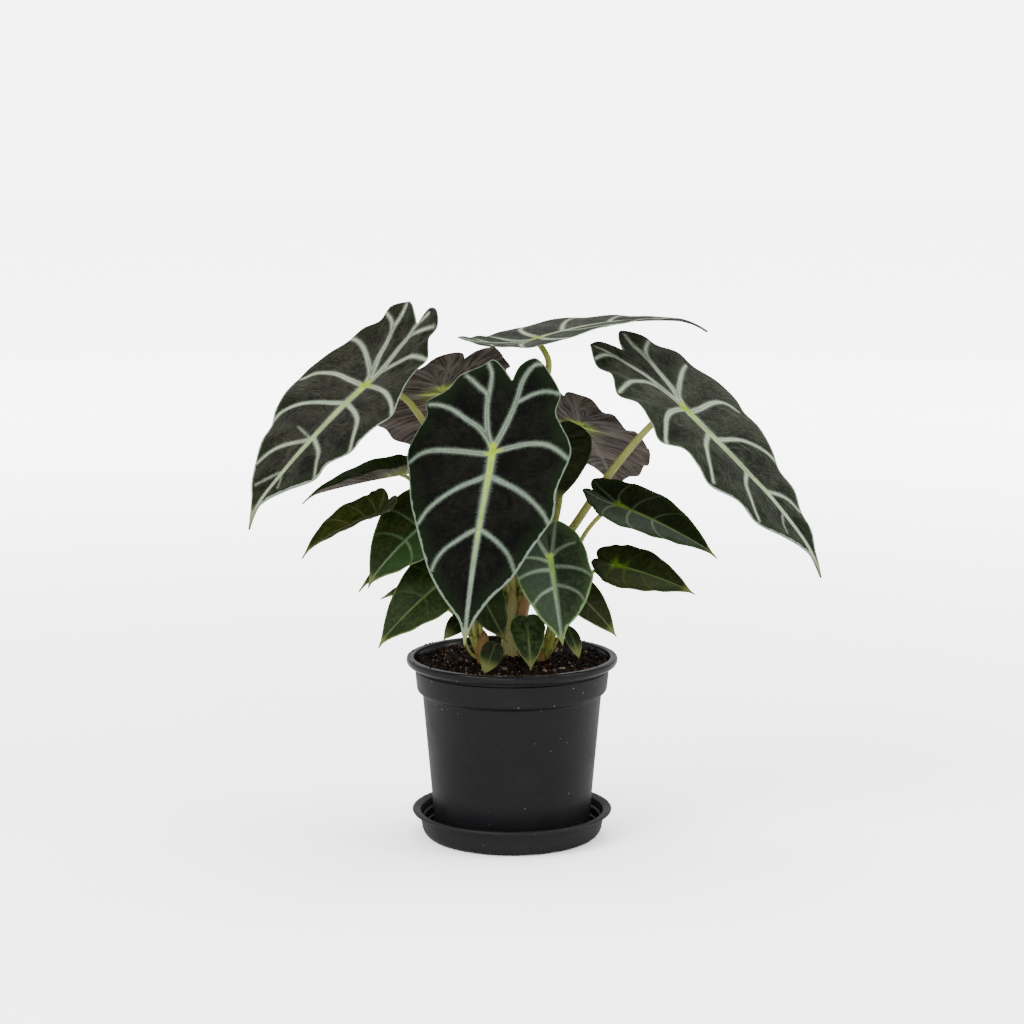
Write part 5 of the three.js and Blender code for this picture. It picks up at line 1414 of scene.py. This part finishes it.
def sheath_skin(values, end, facing, half_angle, gap, flare, number):
    """A sheath round a stalk from its foot to end, a share of the way to the blade.

    At height u from 0 to 1 it spans half_angle * (1 - u^4) to both sides of facing, in degrees. Its
    radius is the stalk's plus the gap, and it flares away with u^3 and at its edges.
    """
    route = stalk_route(values)
    u = np.linspace(0, 1, SHEATH_ROWS)[:, None]
    centres = curve_at(route, end * u[:, 0])
    v = np.linspace(-1, 1, SHEATH_COLUMNS)
    angle = np.radians(facing + v * half_angle * (1.02 - u**4))
    radius = values["radii"][0] * 1.15 + gap + flare * u**3 + 0.5 * gap * v**2 * u
    across = np.stack([np.sin(angle), -np.cos(angle), 0 * angle], axis=-1)
    outer = centres[:, None] + radius[..., None] * across
    inner = centres[:, None] + (radius - SHEATH_WALL * (1 - v**8))[..., None] * across
    skin = np.concatenate([outer, inner[:, -2:0:-1]], axis=1)
    across_value = np.concatenate([v, v[-2:0:-1]])
    attributes = {"run": u, "turn": across_value}
    face_material = np.full((SHEATH_ROWS + 1) * skin.shape[1], number)
    return tube_skin(skin, skin[0].mean(axis=0), skin[-1].mean(axis=0), attributes, face_material)


DARK_FOOT = (0.022, 0.012, 0.006)


def sheath_finish(name, pale, middle, edge_colour):
    """Fibrous sheath: fine lengthwise fibres, brown at its edges and tip, and darker towards its foot."""
    material, tree, shader = new_material(name)
    run = attribute(tree, "run")
    turn = attribute(tree, "turn")
    fibre_place = flat_point(tree, times(tree, turn, 9.0), times(tree, run, 1.6))
    fibres = noise(tree, fibre_place, 1.0, detail=4.0, roughness=0.7)
    cloud = noise(tree, object_place(tree), 130.0, detail=3.0)
    colour = blend_colour(tree, ramp_value(tree, fibres, 0.35, 0.65), pale, middle)
    edge = plus(tree, calculate(tree, "ABSOLUTE", turn), times(tree, cloud, 0.5))
    colour = blend_colour(tree, ramp_value(tree, edge, 1.05, 1.35), colour, edge_colour)
    old = plus(tree, run, times(tree, fibres, 0.4))
    colour = blend_colour(tree, ramp_value(tree, old, 1.0, 1.35), colour, edge_colour)
    # The colour is darkened towards the foot of the sheath.
    near_foot = plus(tree, run, times(tree, cloud, 0.3))
    colour = blend_colour(tree, ramp_value(tree, near_foot, 0.52, 0.22), colour, DARK_FOOT)
    tree.links.new(colour, shader.inputs["Base Color"])
    tree.links.new(bump(tree, fibres, 0.0004), shader.inputs["Normal"])
    shader.inputs["Roughness"].default_value = 0.5
    return material


green_sheath = sheath_finish("green_sheath", (0.70, 0.71, 0.32), (0.56, 0.52, 0.20), (0.32, 0.16, 0.06))
dry_sheath = sheath_finish("dry_sheath", (0.58, 0.36, 0.13), (0.32, 0.15, 0.05), (0.13, 0.05, 0.02))

# %% Make the crowns
BY_NAME = {values["name"]: values for values in LEAVES}
# Leaf, end along its stalk, facing in degrees from the front, half angle, gap, flare, and whether the
# sheath is dry.
SHEATHS = {
    "main": [
        ("front_large", 0.42, 0, 105, 0.7, 0.6, 0), ("right_large", 0.34, 60, 110, 0.5, 0.8, 0),
        ("left_large", 0.30, -70, 100, 0.5, 0.7, 0), ("back_left", 0.38, 190, 105, 0.5, 0.8, 0),
        ("back_right", 0.36, 150, 105, 0.5, 0.9, 0), ("top_large", 0.32, 40, 70, 0.9, 1.2, 1),
        ("inner_right", 0.36, 30, 80, 0.9, 1.0, 1),
    ],
    "left": [
        ("left_middle", 0.30, -20, 100, 0.4, 0.8, 1), ("left_curled", 0.26, -120, 100, 0.4, 0.6, 0),
        ("front_lower", 0.60, 25, 110, 1.5, 0.6, 1), ("left_narrow", 0.28, 100, 90, 0.4, 0.7, 0),
    ],
    "right": [
        ("right_medium", 0.28, 60, 100, 0.4, 0.6, 0), ("front_medium", 0.36, -10, 90, 0.4, 0.7, 1),
        ("right_small", 0.30, 120, 90, 0.4, 0.6, 0),
    ],
}
CORM_ROWS, CORM_AROUND = 16, 40
CORM_STANDS_OUT = 4.0


def corm_skin(crown):
    """The swollen foot of a shoot: a knobbly turned shape that stands a little out of the soil.

    Its radius is the crown's up to 0.3 of its height, falls like an ellipse above that, and has small
    waves round it.
    """
    turn = np.linspace(0, 2 * np.pi, CORM_AROUND, endpoint=False)
    rise = np.linspace(0, 1, CORM_ROWS)[:, None]
    reach = crown["radius"] * np.sqrt(1 - np.clip((rise - 0.3) / 0.7, 0, 1)**2 * 0.96)
    reach = reach * (1 + 0.04 * np.sin(5 * turn + 2 * rise) + 0.02 * np.sin(11 * turn))
    x = crown["centre"][0] + reach * np.cos(turn)
    y = crown["centre"][1] + reach * np.sin(turn)
    z = SOIL_TOP - crown["depth"] + (crown["depth"] + CORM_STANDS_OUT) * rise + 0 * turn
    grid = np.stack([x, y, z], axis=-1)
    centre = np.array([*crown["centre"], 0.0])
    start = centre + [0, 0, SOIL_TOP - crown["depth"]]
    end = centre + [0, 0, SOIL_TOP + CORM_STANDS_OUT + 0.2]
    face_material = np.full((CORM_ROWS + 1) * CORM_AROUND, 1)
    return tube_skin(grid, start, end, {"run": 0.02, "turn": 0.5}, face_material)


for crown_name, crown in CROWNS.items():
    skins = [corm_skin(crown)]
    for values in LEAVES:
        if values["crown"] == crown_name:
            rings, centres, attributes = stalk_part(values, above_fork=False)
            skins.append(tube_skin(rings, centres[0], centres[-1], attributes))
    for leaf_name, end, facing, half_angle, gap, flare, dry in SHEATHS[crown_name]:
        skins.append(sheath_skin(BY_NAME[leaf_name], end, facing, half_angle, gap, flare, 1 + dry))
    crown_piece = add_skins(f"shoot_{crown_name}", skins, [stalk_green, green_sheath, dry_sheath])
    dress(crown_piece, "crown", f"crown_{crown_name}")
print("sheaths:", sum(len(rows) for rows in SHEATHS.values()))

# %% [markdown]
# ## Soil
#
# Potting soil is dark, damp peat with paler bits of bark and fibre. A noise texture alone looks
# painted, because real crumbs throw shadows. So the ground is a bumpy surface with thousands of small
# lumps strewn over it, all in one mesh. Each lump is an icosahedron of twenty faces, stretched, turned
# and dented at random, and carries a number that gives it its own colour.

# %% Bed of soil
SOIL_RIM = 54.4
SOIL_SIDE = [(37.9, 4.9), (41.3, 7.0), (42.8, 11.4), (49.2, 83.2), (52.3, 86.8), (53.4, 98.2)]
SOIL_MOUND = 0.8
SOIL_MOUND_REACH = 24
LATTICE = 256  # cells to a side


def lattice_noise(x, y, cell, seed):
    """Smooth noise from -1 to 1: random values on a square lattice, blended by smooth steps."""
    values = np.random.default_rng(seed).uniform(-1, 1, (LATTICE, LATTICE))
    column, row = np.floor(x / cell).astype(int), np.floor(y / cell).astype(int)
    u, v = x / cell - column, y / cell - row
    u, v = u * u * (3 - 2 * u), v * v * (3 - 2 * v)
    left, right = column % LATTICE, (column + 1) % LATTICE
    low, high = row % LATTICE, (row + 1) % LATTICE
    near = values[low, left] * (1 - u) + values[low, right] * u
    far = values[high, left] * (1 - u) + values[high, right] * u
    return near * (1 - v) + far * v


def soil_height(x, y):
    """The low mound and long waves of the CAD soil, with clods of three sizes on top."""
    mound = SOIL_MOUND * np.exp(-(x * x + y * y) / SOIL_MOUND_REACH**2)
    waves = np.sin(0.31 * x + 1.3) * np.cos(0.27 * y) + np.sin(0.323 * x - 0.41 * y)
    clods = 0.9 * lattice_noise(x, y, 7.0, 1) + 0.6 * lattice_noise(x, y, 3.1, 2)
    return SOIL_TOP + mound + 0.5 * waves + clods + 0.35 * lattice_noise(x, y, 1.4, 3)


SOIL_RINGS = 80
SOIL_AROUND = 240
angle = np.linspace(0, 2 * np.pi, SOIL_AROUND, endpoint=False)
circle = np.stack([np.cos(angle), np.sin(angle)], axis=-1)
soil_rings = [[np.array([*(radius * way), height]) for way in circle] for radius, height in SOIL_SIDE]
for radius in np.linspace(SOIL_RIM, 0.6, SOIL_RINGS):
    x, y = (radius * circle).T
    soil_rings.append(np.stack([x, y, soil_height(x, y)], axis=-1))
soil_rings = np.array(soil_rings)


def soil_finish(name, dark, middle, bark, wood):
    """Damp crumbs: nearly black to red-brown. A lump's tone picks bark at 0.5 and pale wood at 1."""
    material, tree, shader = new_material(name)
    place = object_place(tree)
    tone = attribute(tree, "tone")
    grain = noise(tree, place, 420.0, detail=5.0, roughness=0.7)
    specks = noise(tree, place, 1500.0, detail=2.0)
    colour = blend_colour(tree, ramp_value(tree, grain, 0.35, 0.7), dark, middle)
    colour = blend_colour(tree, ramp_value(tree, specks, 0.62, 0.75, 0.0, 0.6), colour, bark)
    colour = blend_colour(tree, ramp_value(tree, tone, 0.0, 0.5), colour, bark)
    pale = blend_colour(tree, ramp_value(tree, specks, 0.3, 0.7, 0.75, 1.0), bark, wood)
    colour = blend_colour(tree, ramp_value(tree, tone, 0.5, 1.0), colour, pale)
    tree.links.new(colour, shader.inputs["Base Color"])
    height = plus(tree, grain, times(tree, specks, 0.4))
    tree.links.new(bump(tree, height, 0.0012), shader.inputs["Normal"])
    tree.links.new(ramp_value(tree, grain, 0.3, 0.7, 0.5, 0.9), shader.inputs["Roughness"])
    shader.inputs["Specular IOR Level"].default_value = 0.2
    return material


peat = soil_finish(
    "damp_peat", (0.0035, 0.0020, 0.0015), (0.021, 0.0092, 0.0060), (0.12, 0.05, 0.03), (0.72, 0.58, 0.42),
)
bed_skin = tube_skin(
    soil_rings, [0, 0, SOIL_SIDE[0][1]], [0, 0, soil_height(np.zeros(1), np.zeros(1))[0]], {"tone": 0.0},
)
bed = add_skins("soil_bed", [bed_skin], [peat])
dress(bed, "soil", "soil")
print("faces of the soil bed:", len(bed.data.polygons))

# %% Crumbs and chips
lump_mesh = bmesh.new()
bmesh.ops.create_icosphere(lump_mesh, subdivisions=1, radius=1.0)
LUMP_CORNERS = np.array([corner.co for corner in lump_mesh.verts])
LUMP_FACES = np.array([[corner.index for corner in face.verts] for face in lump_mesh.faces])
lump_mesh.free()


def random_turns(count, random):
    """Random rotation matrices, from random unit quaternions."""
    w, x, y, z = unit(random.normal(size=(count, 4))).T
    return np.array([
        [1 - 2 * (y * y + z * z), 2 * (x * y - w * z), 2 * (x * z + w * y)],
        [2 * (x * y + w * z), 1 - 2 * (x * x + z * z), 2 * (y * z - w * x)],
        [2 * (x * z - w * y), 2 * (y * z + w * x), 1 - 2 * (x * x + y * y)],
    ]).transpose(2, 0, 1)


def add_lumps(name, places, sizes, tones, random, dent=0.2):
    """Dented lumps at places (count, 3) with three half sizes each, as one mesh."""
    count = len(places)
    shapes = LUMP_CORNERS * sizes[:, None] * (1 + dent * random.uniform(-1, 1, (count, 12, 1)))
    corners = np.einsum("nij,nkj->nki", random_turns(count, random), shapes) + places[:, None]
    faces = (LUMP_FACES + 12 * np.arange(count)[:, None, None]).reshape(-1, 3)
    return add_mesh(name, corners.reshape(-1, 3), faces.tolist(), [peat], {"tone": np.repeat(tones, 12)})


random = np.random.default_rng(7)
CRUMBS = 4200
reach = SOIL_RIM * np.sqrt(random.uniform(0, 0.985, CRUMBS))
angle = random.uniform(0, 2 * np.pi, CRUMBS)
x, y = reach * np.cos(angle), reach * np.sin(angle)
grain_size = random.gamma(2.2, 0.24, CRUMBS).clip(0.25, 1.7)
sizes = grain_size[:, None] * random.uniform(0.6, 1.2, (CRUMBS, 3))
places = np.stack([x, y, soil_height(x, y) + 0.25 * grain_size], axis=-1)
tones = np.where(random.uniform(size=CRUMBS) < 0.16, random.uniform(0.2, 0.7, CRUMBS), 0.0)
crumbs = add_lumps("soil_crumbs", places, sizes, tones, random)
dress(crumbs, "soil")

# Pale chips that lie on top at the front left: x, y, half the length and half the breadth.
PALE_CHIPS = np.array([
    (-43.5, 11, 0.6, 0.5), (-40, 15, 0.5, 0.5), (-38, 11, 0.7, 0.6), (-28.5, 22, 0.7, 0.5),
    (-24.5, -4, 2.3, 0.7), (-25.5, -9, 1.3, 0.6), (-29, -19, 1.0, 0.7), (-34.5, -24, 1.3, 0.8),
    (-26, -27, 0.9, 0.6), (-22, -14, 1.1, 0.5),
])
CHIPS = 150
CHIP_REACH = 51
reach = CHIP_REACH * np.sqrt(random.uniform(0.05, 1, CHIPS))
angle = random.uniform(0, 2 * np.pi, CHIPS)
x, y = reach * np.cos(angle), reach * np.sin(angle)
sizes = np.stack([
    random.uniform(0.5, 1.6, CHIPS), random.uniform(0.3, 0.6, CHIPS), random.uniform(0.25, 0.5, CHIPS),
], axis=-1)
tones = random.uniform(0.4, 1.0, CHIPS)
pale = slice(0, len(PALE_CHIPS))
x[pale], y[pale] = PALE_CHIPS[:, 0], PALE_CHIPS[:, 1]
sizes[pale, :2] = PALE_CHIPS[:, 2:]
tones[pale] = 1.0
places = np.stack([x, y, soil_height(x, y) + 0.6], axis=-1)
chips = add_lumps("bark_chips", places, sizes, tones, random, dent=0.1)
dress(chips, "soil")
print("crumbs and chips:", CRUMBS + CHIPS)

# %% [markdown]
# ## Pot and saucer
#
# Both are thin injection moulded plastic, turned shapes with a rolled lip. Their profile is a row of
# corners that are rounded one by one and then carried round a circle. The drain holes in the bottom
# and the gaps in the foot of the saucer are cut by a Boolean modifier, which is applied at once.
# Black plastic in a shop is never clean: it has dust specks and scuffs. Inside the lip, above the soil,
# it is near-black: painted shade in the pot's mouth, over dried peat.


# %% Turned shapes
CORNER_POINTS = 5


def softened(corners):
    """A profile whose corners are cut at a distance and rounded. Rows: radius, height, distance."""
    rows = np.array(corners, float)
    points = [rows[0, :2]]
    t = np.linspace(0, 1, CORNER_POINTS)[:, None]
    for i in range(1, len(rows) - 1):
        corner, cut = rows[i, :2], rows[i, 2]
        to_last, to_next = rows[i - 1, :2] - corner, rows[i + 1, :2] - corner
        start = corner + to_last * min(cut / np.linalg.norm(to_last), 0.48)
        end = corner + to_next * min(cut / np.linalg.norm(to_next), 0.48)
        points.extend((1 - t)**2 * start + 2 * t * (1 - t) * corner + t**2 * end)
    points.append(rows[-1, :2])
    return np.array(points)


def turned_skin(profile, around):
    """A profile that starts and ends on the axis, carried round it."""
    turn = np.linspace(0, 2 * np.pi, around, endpoint=False)
    radius, height = profile[1:-1, 0][:, None], profile[1:-1, 1][:, None]
    grid = np.stack([radius * np.cos(turn), radius * np.sin(turn), height + 0 * turn], axis=-1)
    return tube_skin(grid, [0, 0, profile[0, 1]], [0, 0, profile[-1, 1]])


def cut_away(piece, cutters):
    """Take the cutters out of a piece for good, and keep its sharp edges sharp."""
    for cutter in cutters:
        modifier = piece.modifiers.new("cut", "BOOLEAN")
        modifier.operation = "DIFFERENCE"
        modifier.solver = "EXACT"
        modifier.object = cutter
    bpy.context.view_layer.update()
    finished = piece.evaluated_get(bpy.context.evaluated_depsgraph_get())
    mesh = bpy.data.meshes.new_from_object(finished)
    piece.modifiers.clear()
    piece.data = mesh
    mesh.set_sharp_from_angle(angle=math.radians(35))
    for cutter in cutters:
        bpy.data.objects.remove(cutter)


# %% Group: dust and scuffs
def make_dust_group():
    """Dust for plastic: Specks are small and sharp, Haze is soft and cloudy."""
    tree, entry, leaving = new_group(
        "dust_and_scuffs",
        [("Vector", "Vector", None), ("Speck Scale", "Float", 560.0), ("Share", "Float", 0.05)],
        [("Specks", "Float"), ("Haze", "Float")],
    )
    cells = add_node(
        tree, "ShaderNodeTexVoronoi", {"Vector": entry["Vector"], "Scale": entry["Speck Scale"]},
    )
    chance = add_node(tree, "ShaderNodeSeparateColor", {"Color": cells.outputs["Color"]}).outputs
    picked = calculate(tree, "LESS_THAN", chance["Red"], entry["Share"])
    size = calculate(tree, "MULTIPLY_ADD", chance["Green"], 0.22, 0.06)
    inside = calculate(tree, "LESS_THAN", cells.outputs["Distance"], size)
    specks = times(tree, picked, inside)
    tree.links.new(times(tree, specks, chance["Blue"]), leaving["Specks"])
    cloud = noise(tree, entry["Vector"], 38.0, detail=6.0, roughness=0.7)
    tree.links.new(ramp_value(tree, cloud, 0.48, 0.78), leaving["Haze"])
    return tree


dust_and_scuffs = make_dust_group()
print("values of dust_and_scuffs:", [item.name for item in dust_and_scuffs.interface.items_tree])

# %% Plastic
LIP_FOOT = 0.0985  # height in m from which the pot's lip is worn smooth by hands
PALER_BELOW = 0.045  # height in m below which the plastic turns paler towards the floor
INNER_WALL = 0.0565  # radius in m inside which the lip above the soil is painted near-black: painted shade over dried peat


def plastic_finish(name, base, paler_tone, rough):
    """Moulded black plastic with a fine grain, haze and specks of dust, and a smoother lip."""
    material, tree, shader = new_material(name)
    place = object_place(tree)
    dust = use_group(tree, dust_and_scuffs, {"Vector": place})
    colour = blend_colour(tree, times(tree, dust["Haze"], 0.3), base, paler_tone)
    height_above = add_node(tree, "ShaderNodeSeparateXYZ", {"Vector": place}).outputs["Z"]
    # The plastic turns paler towards the floor.
    toward_floor = ramp_value(tree, height_above, PALER_BELOW, 0.0, 0.0, 0.5)
    colour = blend_colour(tree, toward_floor, colour, paler_tone)
    colour = blend_colour(tree, dust["Specks"], colour, (0.30, 0.29, 0.27))
    level = add_node(tree, "ShaderNodeVectorMath", {0: place, 1: (1, 1, 0)}, operation="MULTIPLY")
    radius = vector_length(tree, level.outputs[0])
    # Painted shade: above the soil, the inside of the lip is made near-black, over dried peat.
    inside = ramp_value(tree, radius, INNER_WALL, INNER_WALL - 0.001)
    inside = times(tree, inside, ramp_value(tree, height_above, 0.096, 0.0975))
    colour = blend_colour(tree, inside, colour, (0.0022, 0.0020, 0.0022))
    tree.links.new(colour, shader.inputs["Base Color"])
    grain = noise(tree, place, 1400.0, detail=2.0)
    wide = noise(tree, place, 60.0, detail=3.0)
    uneven = calculate(tree, "MULTIPLY_ADD", wide, 0.16, rough - 0.08)
    uneven = plus(tree, uneven, times(tree, dust["Haze"], 0.12))
    worn = ramp_value(tree, height_above, LIP_FOOT - 0.001, LIP_FOOT + 0.001, 0.0, -0.2)
    uneven = plus(tree, uneven, worn)
    tree.links.new(uneven, shader.inputs["Roughness"])
    shader.inputs["Specular IOR Level"].default_value = 0.3
    height = plus(tree, times(tree, grain, 0.35), dust["Specks"])
    tree.links.new(bump(tree, height, 0.00008), shader.inputs["Normal"])
    return material


pot_plastic = plastic_finish("satin_black_plastic", (0.0080, 0.0071, 0.0091), (0.036, 0.033, 0.037), 0.40)
print("finish:", pot_plastic.name)


# %% Make the pot
def add_cutter(name, low, height):
    """A prism on a ring of points, to cut with."""
    grid = np.stack([low, low + [0, 0, height]])
    return add_skins(name, [tube_skin(grid, grid[0].mean(0), grid[1].mean(0))], [pot_plastic])


DRAIN_HOLES, DRAIN_CIRCLE, DRAIN_RADIUS = 6, 26, 4
DRILL_AROUND, DRILL_BOTTOM, DRILL_HEIGHT = 40, 2.0, 4.0
POT_PROFILE = softened([
    (0, 3.1, 0), (43.9, 3.1, 8), (51.0, 82.9, 1.2), (53.3, 84.3, 1), (54.1, 85.5, 1), (55.3, 96.8, 0.4),
    (54.8, 97.3, 0.3), (54.8, 98.9, 0.3), (58.6, 99.3, 0.6), (60.0, 100.8, 1.0), (60.0, 104.1, 1.5),
    (55.9, 104.1, 0.7), (55.7, 102.6, 0.6), (53.7, 97.9, 1), (52.6, 86.5, 0.8), (49.5, 82.9, 1.2),
    (43.1, 4.6, 5), (0, 4.6, 0),
])
pot = add_skins("nursery_pot", [turned_skin(POT_PROFILE, 192)], [pot_plastic])
drills = []
for i in range(DRAIN_HOLES):
    turn = i * 2 * math.pi / DRAIN_HOLES
    round_turn = np.linspace(0, 2 * np.pi, DRILL_AROUND, endpoint=False)
    x = DRAIN_CIRCLE * math.cos(turn) + DRAIN_RADIUS * np.cos(round_turn)
    y = DRAIN_CIRCLE * math.sin(turn) + DRAIN_RADIUS * np.sin(round_turn)
    low = np.stack([x, y, np.full(DRILL_AROUND, DRILL_BOTTOM)], axis=-1)
    drills.append(add_cutter(f"drill_{i}", low, DRILL_HEIGHT))
cut_away(pot, drills)
dress(pot, "pot_plastic", "pot")
print("pot triangles:", sum(len(face.vertices) - 2 for face in pot.data.polygons))

# %% Make the saucer
SAUCER_PROFILE = softened([
    (0, 0, 0), (14, 0, 0.5), (15, 1.3, 0.5), (43, 1.3, 0.5), (44, 0, 0.4), (47.4, 0, 1), (49.8, 1.4, 1.4),
    (51.4, 4.2, 1.5), (52.8, 13.0, 0.6), (56.4, 13.8, 0.8), (57.2, 14.8, 0.6), (56.6, 15.9, 0.7),
    (55.0, 16.0, 0.8), (52.2, 14.8, 0.6), (51.1, 10.6, 0.5), (50.1, 10.0, 0.4), (49.5, 6.2, 0.4),
    (48.4, 5.6, 0.4), (47.6, 2.8, 0.8), (0, 2.8, 0),
])
saucer = add_skins("saucer_dish", [turned_skin(SAUCER_PROFILE, 192)], [pot_plastic])
FOOT_GAPS, FOOT_RADIUS = 6, 45.7
FOOT_GAP_CORNERS = [(-3.5, -3), (5.5, -3), (5.5, 3), (-3.5, 3)]  # outwards and sideways
notches = []
for i in range(FOOT_GAPS):
    turn = (i + 0.5) * 2 * math.pi / FOOT_GAPS + math.pi / 2
    way = np.array([math.cos(turn), math.sin(turn), 0.0])
    beside = np.array([-way[1], way[0], 0.0])
    low = np.array([(FOOT_RADIUS + a) * way + b * beside + [0, 0, -1.1] for a, b in FOOT_GAP_CORNERS])
    notches.append(add_cutter(f"notch_{i}", low, 2.2))
cut_away(saucer, notches)
dress(saucer, "pot_plastic", "saucer")
print("saucer triangles:", sum(len(face.vertices) - 2 for face in saucer.data.polygons))

# %% Grit in the saucer and on the lip
GRIT = 150
TROUGH = (44.8, 47.0)  # radii in the saucer between which grit has gathered
TROUGH_FLOOR = 3.0
turn = random.uniform(0, 2 * np.pi, GRIT)
reach = random.uniform(*TROUGH, GRIT)
in_saucer = np.stack([reach * np.cos(turn), reach * np.sin(turn), np.full(GRIT, TROUGH_FLOOR)], axis=-1)
LIP_GRIT = 26
LIP_RADIUS, LIP_TOP = 58.3, 104.2
turn = random.uniform(0, 2 * np.pi, LIP_GRIT)
on_lip = np.stack([
    LIP_RADIUS * np.cos(turn) + random.normal(0, 0.4, LIP_GRIT),
    LIP_RADIUS * np.sin(turn) + random.normal(0, 0.4, LIP_GRIT),
    np.full(LIP_GRIT, LIP_TOP),
], axis=-1)
places = np.concatenate([in_saucer, on_lip])
sizes = random.uniform(0.2, 0.6, (len(places), 3))
tones = np.where(random.uniform(size=len(places)) < 0.3, 0.5, 0.0)
grit = add_lumps("grit", places, sizes, tones, random)
dress(grit, "soil")
print("grains of grit:", len(places))
